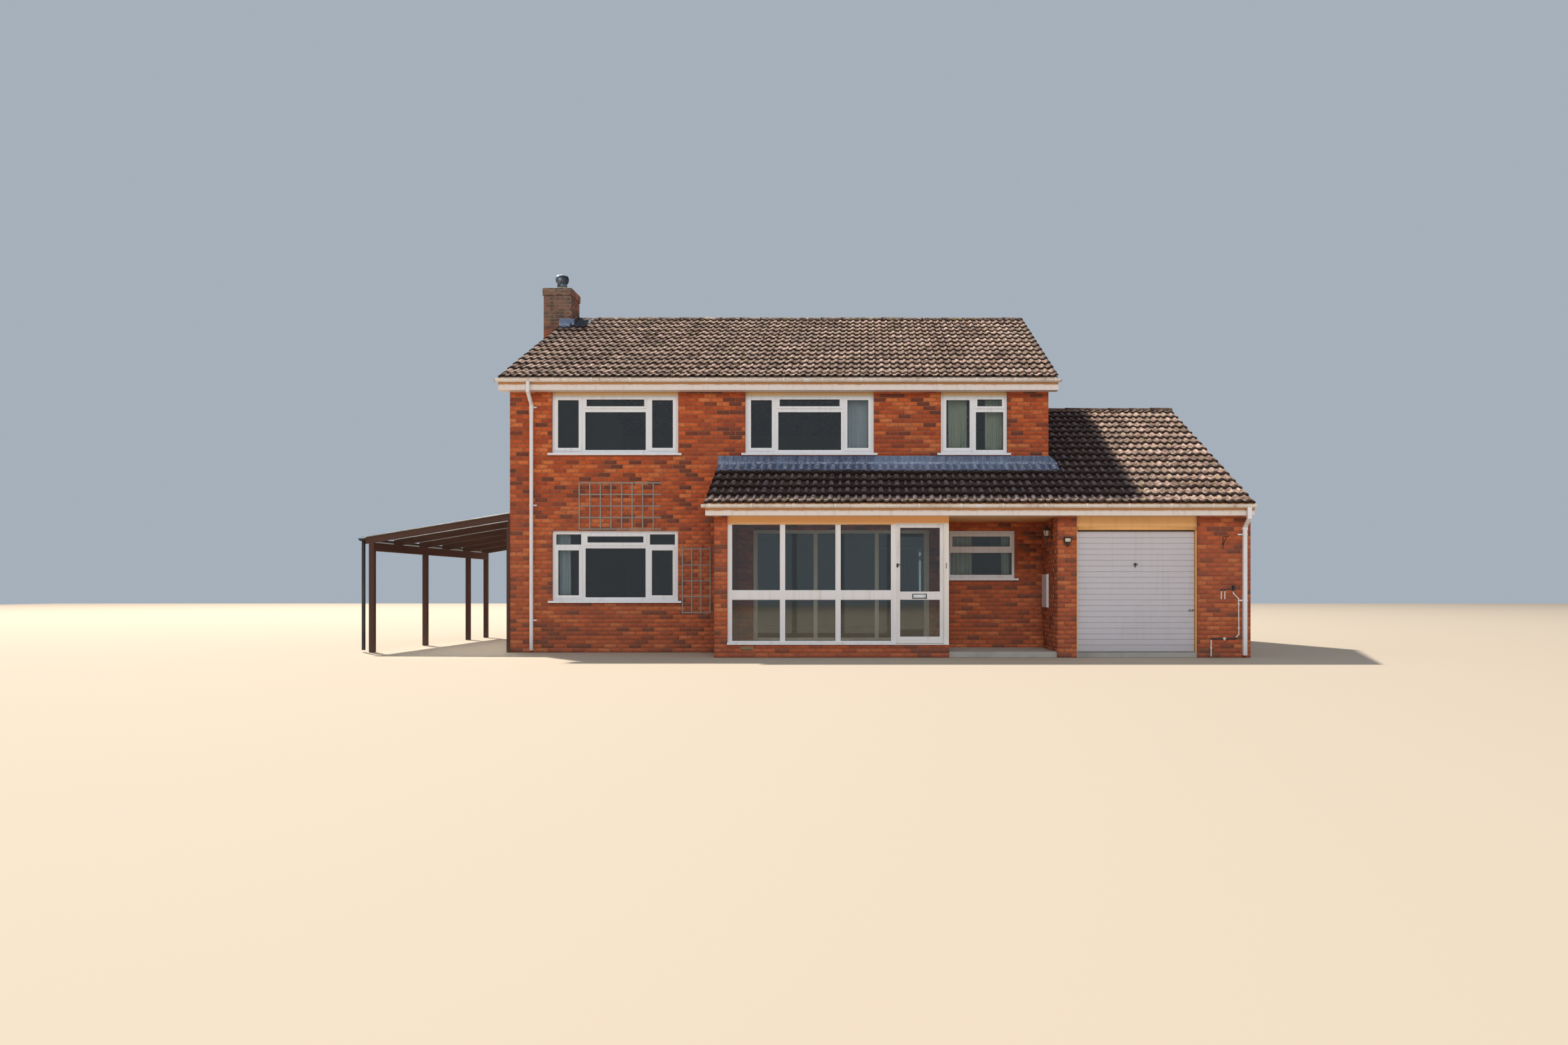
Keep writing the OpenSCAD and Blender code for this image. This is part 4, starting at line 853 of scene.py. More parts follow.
def tile_field(x_start, columns, s_start, rows, gauge, keep, seed):
    """Double-roll tiles on a slope, as a function of place u over a tile and s up the slope.

    keep(x0, s0) gives arrays of each tile's part in sight: left and right share, and the
    share of its length. Rows start at the eaves; each tail rests on the tile below, its
    nose rounded, and the height falls in a straight line from tail to head."""
    rng = np.random.default_rng(seed)
    c, r = np.meshgrid(np.arange(columns), np.arange(rows), indexing="ij")
    c, r = c.ravel(), r.ravel()
    x0, s0 = x_start + c * TILE_W, s_start + r * gauge
    u0, u1, s_top = keep(x0, s0)
    ok = u1 - u0 > 0.04
    x0, s0, u0, u1, s_top = x0[ok], s0[ok], u0[ok], u1[ok], s_top[ok]
    n = len(x0)
    share = np.array([0, 0.08, 0.135, 0.25, 0.365, 0.42, 0.65, 0.69, 0.77, 0.85, 0.89, 1.0])
    u = u0[:, None] + (u1 - u0)[:, None] * share
    x = x0[:, None] + u * TILE_W
    top = roll_height(np.clip(u, 0, 0.9999)) + rng.normal(0, 0.0007, u.shape)
    tilt = rng.normal(0, 0.0018, n)[:, None] * (u - 0.5)
    tail = s0[:, None] + rng.normal(0, 0.008, n)[:, None] + rng.normal(0, 0.0014, u.shape)
    tail = np.maximum(tail - 0.004 + rng.normal(0, 0.010, n)[:, None] * (u - 0.5), 0)
    head = np.minimum(s0 + gauge + LAP, s_top)[:, None] + 0 * u
    lift = LIFT + rng.normal(0, 0.0020, n)[:, None] + tilt
    fade = 1 - (head - tail) / (gauge + LAP)
    foot = top + lift + 0.001
    section = [(tail, foot), (tail, foot + TILE_T - 0.007), (tail + 0.009, foot + TILE_T),
               (head, top + lift * fade + TILE_T), (head, top + lift * fade)]
    points = np.stack([np.stack([x, s, h + BED], -1) for s, h in section], 2)
    count = u.shape[1]
    one = grid_faces(count, 5, around=True)
    last = 5 * count - 5
    one = np.vstack([one, [[3, 2, 1, 0], [4, 3, 0, 0], [last, last + 1, last + 2, last + 3],
                           [last, last + 3, last + 4, last + 4]]])
    one = flipped(one)
    faces = (one[None] + 5 * count * np.arange(n)[:, None, None]).reshape(-1, 4)
    tone = np.repeat(rng.beta(1.1, 1.2, n), 5 * count)
    # Edge marks the tails, where the tile material paints a band of shadow; crest marks the rolls,
    # and the pans between them get painted shade
    edge = np.tile([1.0, 1.0, 0.93, 0.0, 0.0], n * count)
    crest = np.repeat(np.clip(roll_height(u) / 0.02, 0, 1).ravel(), 5)
    return points.reshape(-1, 3), faces, tone, edge, crest


def on_slope(part, y_eaves, z_eaves, direction):
    """Puts a part given as (x, up the slope, off the slope) on the roof: y goes back with
    the cosine of the pitch and z up with its sine; direction -1 is the slope behind."""
    x, s, h = part[0].T
    y = y_eaves + direction * (s * math.cos(PITCH) - h * math.sin(PITCH))
    z = z_eaves + s * math.sin(PITCH) + h * math.cos(PITCH)
    return (np.column_stack([x, y, z]), part[1] if direction > 0 else flipped(part[1]),
            *part[2:])


def slab(x0, x1, s0, s1, h0=-0.11 * math.cos(PITCH), h1=BED - 0.003):
    """A board between two places given as x, up the slope and off the slope: left alone, the
    heights off it are those of the slab under the tiles."""
    return blocks((x0, s0, h0), (x1, s1, h1), np.array([0.2]))


# Lengths up the slopes: of each whole slope, and as far as the stack and the main wall
main_length = (BACK + TILE_OUT) / math.cos(PITCH)
main_gauge = main_length / 14
low_length = (LOW_RIDGE_Y - WING + TILE_OUT) / math.cos(PITCH)
low_gauge = 0.352
low_phase = LOW_VERGE + 0.025 - TILE_W
main_columns = int(math.ceil(2 * VERGE / TILE_W))
stack_s = (s2 - FRONT + TILE_OUT) / math.cos(PITCH)
wall_s = (FRONT - WING + TILE_OUT) / math.cos(PITCH)


def main_keep(front):
    def keep(x0, s0):
        at_stack = (s0 > stack_s - 0.12) & front
        start = np.where(at_stack, STACK[1] + 0.004, -VERGE)
        u0 = np.clip((start - x0) / TILE_W, 0, 1)
        u1 = np.clip((VERGE - x0) / TILE_W, 0, 1)
        return u0, u1, np.full(len(x0), main_length - 0.01)
    return keep


def low_keep(x0, s0):
    beyond = s0 > wall_s - 0.02
    u0 = np.clip((np.where(beyond, RIGHT, LOW_VERGE) - x0) / TILE_W, 0, 1)
    u1 = np.clip((PARTY - x0) / TILE_W, 0, 1)
    top = np.where(x0 + TILE_W * 0.5 < RIGHT, wall_s - 0.004, low_length - 0.01)
    return u0, u1, np.where(beyond, low_length - 0.01, top)


def garage_keep(x0, s0):
    u1 = np.clip((PARTY - x0) / TILE_W, 0, 1)
    return 0 * u1, u1, np.full(len(x0), low_length - 0.01)


# Tiles of each slope over their slab, as (solid, y and z at the eaves, direction, part)
roofs = {
    "front_tiles": ("front_roof_slope", FRONT - TILE_OUT, EAVES, 1, joined([
        tile_field(-VERGE, main_columns, -0.152, 15, main_gauge, main_keep(True), 31),
        slab(-STRUCT, STRUCT, 0.08, main_length - 0.02)])),
    "back_tiles": ("back_roof_slope", BACK + TILE_OUT, EAVES, -1, joined([
        tile_field(-VERGE, main_columns, -0.152, 15, main_gauge, main_keep(False), 32),
        slab(-STRUCT, STRUCT, 0.08, main_length - 0.02)])),
    "low_front_tiles": ("low_front_slope", WING - TILE_OUT, LOW_EAVES, 1, joined([
        tile_field(low_phase, 34, 0, 16, low_gauge, low_keep, 33),
        slab(LOW_VERGE + 0.035, RIGHT, 0.08, wall_s),
        slab(RIGHT, PARTY, 0.08, low_length - 0.02)])),
    "low_back_tiles": ("low_back_slope", WING_BACK + TILE_OUT, LOW_EAVES, -1, joined([
        tile_field(RIGHT, 12, 0, 16, low_gauge, garage_keep, 34),
        slab(RIGHT, PARTY, 0.08, low_length - 0.02)])),
}
for name, (stands_for, y, z, direction, part) in roofs.items():
    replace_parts(piece(name, on_slope(part, y, z, direction), TILE, angle=35),
                stands_for)

# Mortar that beds the tiles over the verge boards
bedding = []
for side in (-1, 1):
    for y, direction in ((FRONT - TILE_OUT, 1), (BACK + TILE_OUT, -1)):
        x0, x1 = sorted((side * (VERGE - 0.007), side * (STRUCT + 0.001)))
        top = stack_s - 0.02 if side < 0 and direction > 0 else main_length - 0.03
        bedding.append(on_slope(slab(x0, x1, 0.012, top, BED - 0.004, BED + 0.018), y, EAVES,
                                direction))
bedding.append(on_slope(slab(LOW_VERGE + 0.007, LOW_VERGE + 0.034, 0.012, wall_s - 0.01,
                             BED - 0.004, BED + 0.018), WING - TILE_OUT, LOW_EAVES, 1))
piece("verge_bedding", bedding, MORTAR)


def ridge_caps(x0, x1, y, z, seed):
    """Half-round ridge tiles, each a little proud of the one before: radius r at angle a,
    r growing by the wall at the overlap. The mortar they are bedded on is not drawn."""
    rng = np.random.default_rng(seed)
    count = int(round((x1 - x0) / 0.45))
    parts = []
    m = 15
    angle = np.linspace(math.radians(-8), math.radians(188), m)
    for i in range(count):
        a, b = x0 + (x1 - x0) * i / count, x0 + (x1 - x0) * (i + 1) / count
        drop = rng.normal(0, 0.002)
        stations = np.array([a + 0.004, b])
        outer = np.array([0.124, 0.116]) + 0.4 * drop
        rings = []
        for radius in (outer, outer - 0.017):
            rings.append(np.stack([
                np.repeat(stations[:, None], m, 1),
                y - radius[:, None] * np.cos(angle),
                z - 0.092 + drop + radius[:, None] * np.sin(angle)], -1))
        loop = np.concatenate([rings[0], rings[1][:, ::-1]], 1)
        faces = grid_faces(2, 2 * m, around=True)[:, ::-1]
        k = np.arange(m - 1)
        end = np.column_stack([k, k + 1, 2 * m - 2 - k, 2 * m - 1 - k])
        parts.append((loop.reshape(-1, 3), np.vstack([faces, end, end[:, ::-1] + 2 * m]),
                      np.full(4 * m, rng.beta(2, 3)), np.repeat([0.86, 0.4], 2 * m)))
    return joined(parts)


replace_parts(piece("ridge_caps", [
    ridge_caps(STACK[1] + 0.004, VERGE, 0, RIDGE, 41),
    ridge_caps(RIGHT, PARTY, LOW_RIDGE_Y, LOW_RIDGE, 42)], RIDGE_TILE, angle=35),
    "ridge_tiles")


# Lead work
def dressed(x0, x1, seed, wall_y, wall_z, top, lap, phase, out=0.0, taper=0.0):
    """A lead sheet that stands up a wall and is beaten down over the tiles below it.

    Up the wall, y = wall_y less 9 mm and z rises to the top, which falls off along x by the
    taper. Down the slope, y goes out and z down with the pitch by lap times t, and the
    height over the slope is the tiles' own roll at x. Sines of random phase make it wavy."""
    rng = np.random.default_rng(seed)
    x = np.linspace(x0, x1, max(int((x1 - x0) / 0.0188) + 1, 4))
    p = rng.uniform(0, 6.28, 5)
    wave = (np.sin(x * 9 + p[0]) + 0.7 * np.sin(x * 23 + p[1]) + 0.5 * np.sin(x * 51 + p[2])) / 2.2
    up = np.array([1.0, 0.72, 0.4, 0.15, 0.06])[:, None]
    height = 0.02 + (top - 0.02) * (1 - taper * (x - x0) / (x1 - x0))
    stand = np.stack([
        x + 0 * up,
        wall_y - 0.009 - out - 0.002 * (1.05 - up) * np.abs(np.sin(x * 17 + p[3] + up * 5)),
        wall_z + 0.02 + (height - 0.02) * up + 0.002 * wave * (up == 1)], -1)
    t = np.array([0.06, 0.16, 0.30, 0.46, 0.62, 0.78, 0.90, 1.0])[:, None]
    down = t * lap * (1 + 0.08 * wave * t)
    roll = roll_height(np.mod((x - phase) / TILE_W, 1)) * 0.94
    off = (0.001 + out + roll * np.minimum(down / 0.03, 1)
           + 0.0015 * np.sin(x * 37 + p[4] + t * 5) - 0.002 * (t == 1))
    skirt = np.stack([x + 0 * t,
                      wall_y - 0.006 - down * math.cos(PITCH) - off * math.sin(PITCH),
                      wall_z - down * math.sin(PITCH) + off * math.cos(PITCH)], -1)
    grid = np.concatenate([stand, skirt])[::-1]
    # Crest carries the pale colour, part patina and part painted highlight, at the fold and on the
    # beaten rolls
    fold = np.array([0.15, 0.05, 0.05, 0.35, 0.9])[:, None] + 0 * x
    crest = np.concatenate([fold, roll / 0.026 * np.minimum(down / 0.03, 1)])[::-1].ravel()
    tone = np.full(2 * len(crest), rng.random())
    return *ribbon(grid, 0.0025), tone, 0 * tone, np.tile(crest, 2)


wall_z = LOW_EAVES + (FRONT - WING + TILE_OUT) * RISE
lead_parts = []
for k, (x0, x1) in enumerate(((LOW_VERGE + 0.004, -0.60), (-0.68, 1.70), (1.61, 2.86),
                              (2.77, 4.12), (4.03, RIGHT + 0.001))):
    lead_parts.append(dressed(x0, x1, 50 + k, FRONT, wall_z, 0.155, 0.34, low_phase,
                              0.0028 * (k % 2)))
# Kicked-out end past the corner, lying on the tiles beside the gable
lead_parts.append(dressed(RIGHT + 0.002, RIGHT + 0.16, 57, FRONT, wall_z, 0.17, 0.33,
                          low_phase, 0.003, 0.9))


def stepped(y0, y1, seed):
    """Cover flashing up a gable wall above a slope. Its foot follows the tiles 14 mm up, and
    its top goes up in steps of two brick courses, each step leaning."""
    y = np.linspace(y0, y1, int(abs(y1 - y0) / 0.015) + 2)
    low = LOW_RIDGE - np.abs(y - LOW_RIDGE_Y) * RISE
    step = 0.15
    part = np.mod(low, step) / step
    high = low - part * step + step * np.clip((part - 0.86) / 0.14, 0, 1) + 0.155
    t = np.linspace(0, 1, 4)[:, None]
    grid = np.stack([RIGHT + 0.009 + 0.001 * np.sin(y * 31 + seed)[None] + 0 * t,
                     y[None] + 0 * t, (low - 0.02)[None] * (1 - t) + high[None] * t], -1)
    return (*ribbon(grid, 0.003), np.full(8 * len(y), 0.5))


lead_parts += [stepped(FRONT + 0.004, LOW_RIDGE_Y - 0.12, 1.0),
               stepped(LOW_RIDGE_Y + 0.12, WING_BACK - 0.01, 2.0)]
lead_parts.append(dressed(-VERGE + 0.012, s1 + 0.07, 61, s2, RIDGE + s2 * RISE, 0.15, 0.15,
                          -VERGE))
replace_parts(piece("lead_sheets", lead_parts, LEAD, angle=50),
            "lead_flashing")


def saddle():
    """Old lead beaten over the tiles beside the stack: over the area x, y it lies on the
    slope at the tiles' own height, puckered by a product of two sines."""
    x, y = np.meshgrid(np.linspace(s1 + 0.009, s1 + 0.36, 28), np.linspace(s2 - 0.13, -0.1, 26))
    wander = 0.03 * np.sin(y * 21) + 0.02 * np.sin(y * 43 + 1)
    x = x + (x - s1) / 0.36 * wander
    off = 0.006 + roll_height(np.mod((x + VERGE) / TILE_W, 1)) + 0.006 * (
        1 + np.sin(x * 47) * np.sin(y * 39))
    z = RIDGE - np.abs(y) * RISE + off
    grid = np.stack([x, y, z], -1)
    grid[:, 0, 2] += 0.05
    return (*ribbon(grid, 0.003), np.full(2 * x.size, 0.5))


piece("stack_saddle", saddle(), OLD_LEAD, angle=60)


# Window gaskets, rods and curtains
BAR, SASH, BEAD, MULL, TOP_LIGHT = 0.045, 0.055, 0.018, 0.042, 0.21


def lights(kind, w, h):
    """The lights of a window, as the solid has them: (x0, z0, x1, z1, width of the ring)."""
    side = 0.485
    a, b = BAR + side + MULL, w - BAR - side - MULL
    low, half = h - BAR - TOP_LIGHT - MULL, (w - 2 * BAR - MULL) / 2
    if kind == 3:
        return [(BAR, BAR, BAR + side, h - BAR, SASH), (a, BAR, b, low, BEAD),
                (a, h - BAR - TOP_LIGHT, b, h - BAR, SASH - 0.012),
                (w - BAR - side, BAR, w - BAR, h - BAR, SASH)]
    if kind == 2:
        return [(BAR, BAR, BAR + half, h - BAR, SASH),
                (BAR + half + MULL, BAR, w - BAR, low, BEAD),
                (BAR + half + MULL, h - BAR - TOP_LIGHT, w - BAR, h - BAR, SASH - 0.012)]
    if kind == 6:
        top = h - BAR - TOP_LIGHT - 0.01
        sides = [(BAR, BAR + side), (w - BAR - side, w - BAR)]
        return ([(x0, BAR, x1, low, SASH) for x0, x1 in sides]
                + [(x0, top, x1, h - BAR, BEAD) for x0, x1 in sides]
                + [(a, BAR, b, low, BEAD), (a, top, b, h - BAR, SASH)])
    return [(BAR - 0.015, BAR, w - BAR + 0.015, h - BAR - 0.33, BEAD),
            (BAR - 0.015, h - BAR - 0.29, w - BAR + 0.015, h - BAR, SASH)]


def ring_of_bars(x0, x1, z0, z1, width, y0, y1):
    """Four upright-set bars round a rectangle, inside it, between two depths."""
    return blocks([(x0, y0, z0), (x0, y0, z1 - width), (x0, y0, z0 + width),
                   (x1 - width, y0, z0 + width)],
                  [(x1, y1, z0 + width), (x1, y1, z1), (x0 + width, y1, z1 - width),
                   (x1, y1, z1 - width)])


# Every window as (x, sill, width, height, kind)
WINDOWS = [(x, UP_SILL, w, UP_H, kind) for x, w, kind in UPPER_ROW]
WINDOWS += [(LOW_WINDOW[0], LOW_WINDOW[2], LOW_WINDOW[1], LOW_WINDOW[3], 6),
            (RECESS_WINDOW[0], RECESS_WINDOW[2], RECESS_WINDOW[1], RECESS_WINDOW[3], 1)]
BACK_WINDOWS = [(x, UP_SILL, w, UP_H, kind) for x, w, kind in BACK_UPPER]
BACK_WINDOWS += [(x, LOW_WINDOW[2], w, LOW_WINDOW[3], 6) for x, w in BACK_LOWER]
gaskets, handles = [], []
for row, side in ((WINDOWS, 1), (BACK_WINDOWS, -1)):
    face = side * (FRONT + REVEAL)
    for x, z, w, h, kind in row:
        for a, c, b, d, ring in lights(kind, w, h):
            if side < 0:
                a, b = w - b, w - a
            y0, y1 = sorted((face + side * 0.0215, face + side * 0.0262))
            gaskets.append(ring_of_bars(x + a + ring, x + b - ring, z + c + ring,
                                        z + d - ring, 0.007, y0, y1))
            if ring > BEAD:
                # A lever on the inner face of each opening light
                tall = d - c > 0.4
                at = (x + (a + b) / 2, z + c + ring / 2) if not tall else (
                    x + (b - ring / 2 if a < w / 2 else a + ring / 2), z + (c + d) / 2)
                y0, y1 = sorted((face + side * 0.059, face + side * 0.075))
                size = (0.011, 0.035) if tall else (0.035, 0.011)
                handles.append(blocks((at[0] - size[0], y0, at[1] - size[1]),
                                      (at[0] + size[0], y1, at[1] + size[1])))
# Seals of the porch screen's panes, in two rows
screen_y = WING + 0.045
for x0, x1 in ((-0.687, 0.138), (0.198, 1.063), (1.123, 1.988)):
    for z0, z1 in ((0.26, 0.972), (1.106, 2.227)):
        gaskets.append(ring_of_bars(x0 + 0.014, x1 - 0.014, z0 + 0.014, z1 - 0.014, 0.005,
                                    screen_y + 0.0225, screen_y + 0.0262))
piece("pane_gaskets", gaskets, BLACK_PLASTIC)
piece("window_levers", handles, UPVC)
door_seals = [ring_of_bars(2.129, 2.79, z0, z1, 0.005, -5.7045, -5.7008)
              for z0, z1 in ((0.345, 0.96), (1.097, 2.161))]
piece("porch_door_seals", door_seals, BLACK_PLASTIC, "porch_door")


def hung(x0, x1, y, top, foot, folds, seed):
    """A curtain under its rod: across it, y swings as a sine of the folds, a quarter as far
    at the rod as at the hem, and the folds wander a little as they come down."""
    rng = np.random.default_rng(seed)
    u, v = np.meshgrid(np.linspace(0, 1, folds * 10 + 1), np.linspace(0, 1, 14))
    p = rng.uniform(0, 6.28, 3)
    phase = 2 * math.pi * folds * u + 0.5 * np.sin(v * 3 + p[0]) + 0.6 * np.sin(u * 9 + p[1])
    swing = 0.019 * (0.25 + 0.75 * v) * (1 + 0.25 * np.sin(u * 15 + p[2]))
    x = x0 + (x1 - x0) * u + 0.006 * v * np.sin(phase + 1)
    return np.stack([x, y + swing * np.sin(phase), top + (foot - top) * v], -1)


def cloth_area(grid):
    """Sum over the grid's cells of half the length of the product of their diagonals."""
    across = grid[1:, 1:] - grid[:-1, :-1]
    other = grid[1:, :-1] - grid[:-1, 1:]
    return 0.5 * np.linalg.norm(np.cross(across, other), axis=2).sum()


# Curtains hang behind the glass: how far rods and cloth start under the frames' tops
ROD_Y, ROD_DROP, CLOTH_DROP = FRONT + 0.20, 0.030, 0.038
RECESS_TOP = RECESS_WINDOW[2] + RECESS_WINDOW[3] - CLOTH_DROP
rods = []
for side, row in ((1, WINDOWS), (-1, BACK_WINDOWS)):
    for x, z, w, h, kind in row:
        rods.append(swept(circle(0.007, 10), [(x + 0.001, side * ROD_Y, z + h - ROD_DROP),
                                              (x + w - 0.001, side * ROD_Y, z + h - ROD_DROP)]))
piece("curtain_rods", rods, STEEL, angle=35)
upper = UP_SILL + UP_H - CLOTH_DROP
hangings = [
    ("curtain_right_a", 3.045, 3.385, ROD_Y, upper, UP_SILL + 0.02, 7, GREEN_CLOTH),
    ("curtain_right_b", 3.715, 4.060, ROD_Y, upper, UP_SILL + 0.02, 8, GREEN_CLOTH),
    ("curtain_middle", 1.175, 1.672, ROD_Y, upper, UP_SILL + 0.02, 6, BLUE_CLOTH),
    ("curtain_low_a", -4.050, -3.800, ROD_Y, 2.147, 0.945, 6, BLUE_CLOTH),
    ("curtain_recess_a", 3.075, 3.475, ROD_Y, RECESS_TOP, RECESS_TOP - 0.80, 5, GREEN_CLOTH),
    ("curtain_recess_b", 4.010, 4.150, ROD_Y, RECESS_TOP, RECESS_TOP - 0.80, 3, GREEN_CLOTH)]
for k, (x, z, w, h, kind) in enumerate(BACK_WINDOWS[2:]):
    half = w / 2 - 0.02
    for title, x0, x1 in (("a", x + 0.02, x + half), ("b", x + w - half, x + w - 0.02)):
        hangings.append((f"curtain_back_{k}_{title}", x0, x1, -ROD_Y, z + h - CLOTH_DROP,
                         z + 0.02, 11, GREEN_CLOTH))
for name, x0, x1, y, top, foot, folds, finish in hangings:
    grid = hung(x0, x1, y, top, foot, folds, len(name) + int(x0 * 10) % 7)
    curtain = piece(name, ribbon(grid, 0.0015), finish, angle=80)
    drop = top - foot
    round(cloth_area(grid) / drop, 3)


# Gutter brackets, stop ends, pipe clips and vents
def arc_band(x0, x1, y, z, radius, thick, front=1):
    """A strap under a half-round gutter: radius r about its middle, from its front lip down
    and round to the back, as wide as from x0 to x1. Behind the house it is flattened in y,
    so that it stays as near to the wall as the gutter does."""
    angle = np.linspace(0, math.pi, 13)[:, None]
    x = np.array([[x0, x1]])
    reach = min(radius, cad_high[1] - y - 0.0002) if y > 0 else radius
    grid = np.stack([x + 0 * angle, y + front * reach * np.cos(angle) + 0 * x,
                     z - radius * np.sin(angle) + 0 * x], -1)
    return ribbon(grid if front > 0 else grid[::-1], thick)


# Middle (y, z) of each gutter's half round, and radii of what is fitted round it
MAIN_GUTTER = (FRONT - 0.256, EAVES - 0.053)
LOW_GUTTER = (WING - 0.256, LOW_EAVES - 0.041)
LIP_R, STRAP_R, UNION_R, STOP_R = 0.0555, 0.0574, 0.0576, 0.0577
straps, stops = [], []
main_at = [-3.99 + 0.683 * k for k in range(13)] + [4.92]
low_at = [-1.004 + 0.687 * k for k in range(13)]
for y, z, at, span in ((*MAIN_GUTTER, main_at, (-5.02, 5.02)),
                       (-MAIN_GUTTER[0], MAIN_GUTTER[1], main_at, (-5.02, 5.02)),
                       (*LOW_GUTTER, low_at, (LOW_VERGE - 0.045, PARTY)),
                       (2 * LOW_RIDGE_Y - LOW_GUTTER[0], LOW_GUTTER[1],
                        [x for x in low_at if x > RIGHT], (RIGHT, PARTY))):
    front = 1 if y < 0 else -1
    for x in at:
        straps.append(arc_band(x - 0.011, x + 0.011, y, z, STRAP_R, 0.0022, front))
        lip = y - front * LIP_R
        straps.append(blocks((x - 0.011, min(lip, lip + front * 0.008), z - 0.002),
                             (x + 0.011, max(lip, lip + front * 0.008), z + 0.010)))
    middle = 0.508 if abs(y) < 5 and span[0] < 0 else 3.41
    if span[0] < 0:
        straps.append(arc_band(middle - 0.05, middle + 0.05, y, z, UNION_R, 0.0026, front))
    for x in span:
        if x < PARTY and span[0] < 0:
            inner, outer = (x + 0.002, x - 0.004) if x < 0 else (x - 0.002, x + 0.004)
            stops.append(arc_band(*sorted((inner, outer)), y, z, STOP_R, 0.056, front))
piece("gutter_straps", straps, PIPE_WHITE, angle=40)
piece("gutter_stops", stops, BLACK_PLASTIC)


def collar(x, y, z0, z1, inner, outer, steps=20):
    """A ring round a pipe: a rectangle of wall turned about the pipe's middle."""
    profile = np.array([(inner, z0), (outer, z0), (outer, z1), (inner, z1)])
    angle = np.linspace(0, 2 * math.pi, steps, endpoint=False)
    ring = np.stack([profile[:, :1] * np.cos(angle) + x, profile[:, :1] * np.sin(angle) + y,
                     profile[:, 1:] + 0 * angle], -1)
    return ring.reshape(-1, 3), grid_faces(4, steps, around=True, back=True), np.zeros(4 * steps)


# Clips of the round pipe on the left and of the square one on the right
PIPE_X, PIPE_Y, PIPE_R = -4.44, FRONT - 0.045, 0.033
clips = []
for z in (4.40, 2.64, 0.577):
    clips.append(collar(PIPE_X, PIPE_Y, z - 0.016, z + 0.016, PIPE_R, 0.0395))
    clips.append(blocks((PIPE_X, FRONT - 0.012, z - 0.012),
                        (PIPE_X + 0.085, FRONT - 0.004, z + 0.012)))
clips.append(collar(PIPE_X, PIPE_Y, 4.30, 4.44, PIPE_R, 0.038))
for z in (2.045, 0.95):
    clips.append(blocks((7.804, WING - 0.0785, z - 0.014), (7.876, WING - 0.003, z + 0.014)))
    clips.append(blocks((7.735, WING - 0.012, z - 0.012), (7.805, WING - 0.003, z + 0.012)))
clips.append(blocks((7.800, WING - 0.0785, 2.12), (7.880, WING - 0.005, 2.16)))
piece("pipe_clips", clips, PIPE_WHITE, angle=30)

# A strip of small vent holes in the head of each upper front window, drawn as black discs: painted
# shade for the holes' dark insides
vents = []
for x, z, w, h, kind in WINDOWS[:3]:
    for at in np.arange(x + 0.05, x + w - 0.03, 0.047):
        vents.append(swept(circle(0.0055, 6), [(at, FRONT + REVEAL + 0.004, 4.655),
                                               (at, FRONT + REVEAL - 0.0008, 4.655)]))
piece("vent_holes", vents, BLACK_PLASTIC)


# Lamps, air brick, door furniture
def lamp_panes():
    """Six panes of the lantern, each between two corners of its six-sided body, whose radius
    grows with height; a pane keeps a seventh of its side free for the frame."""
    parts = []
    middle, foot, tall = (4.645, WING + 0.5), 2.034, 0.112
    for k in range(6):
        turn = math.radians(60) * np.array([k, k + 1])
        share = np.array([[0.14, 0.86]])
        height = np.array([[0.09], [0.91]])
        radius = 0.040 + 0.026 * height
        ends = np.stack([np.cos(turn), np.sin(turn)], -1)
        spot = radius[..., None] * (ends[0] * (1 - share[..., None]) + ends[1] * share[..., None])
        out = np.array([math.cos(turn.mean()), math.sin(turn.mean())]) * 0.0018
        grid = np.concatenate([spot + out + middle,
                               (foot + tall * height + 0 * share)[..., None]], -1)
        parts.append(ribbon(grid, 0.003))
    return joined(parts)


piece("lantern_panes", lamp_panes(), LAMP_GLASS)


def tipped(part, middle, degrees):
    """Turns a part about a line along x through the middle, by y cos - z sin, y sin + z cos."""
    turn = math.radians(degrees)
    spot = part[0] - middle
    y = spot[:, 1] * math.cos(turn) - spot[:, 2] * math.sin(turn)
    z = spot[:, 1] * math.sin(turn) + spot[:, 2] * math.cos(turn)
    return (np.column_stack([spot[:, 0], y, z]) + middle, *part[1:])


sensor = np.array([4.9, WING - 0.02, 1.962])
piece("sensor_lamp_lens", tipped(blocks(
    sensor + (-0.048, -0.0685, -0.030), sensor + (0.048, -0.064, 0.032)), sensor, 12),
    LAMP_GLASS)
rim = ring_of_bars(sensor[0] - 0.058, sensor[0] + 0.058, sensor[2] - 0.043, sensor[2] + 0.043,
                   0.011, sensor[1] - 0.071, sensor[1] - 0.064)
piece("sensor_lamp_rim", tipped(rim, sensor, 12), BLACK_METAL)

# An air brick with three rows of nine holes, drawn as thin black blocks on its face: painted shade
# for the holes' dark insides
grille_x, grille_z = -0.422, 0.151
piece("air_brick", blocks((grille_x - 0.107, WING - 0.0085, grille_z - 0.032),
                          (grille_x + 0.107, WING + 0.002, grille_z + 0.032)),
      BUFF_CLAY)
slots = np.array([(grille_x + 0.022 * i, WING, grille_z + 0.019 * k)
                  for k in (-1, 0, 1) for i in range(-4, 5)])
piece("air_brick_holes", blocks(slots - (0.006, 0.0092, 0.005), slots + (0.006, -0.0080, 0.005)),
      BLACK_PLASTIC)

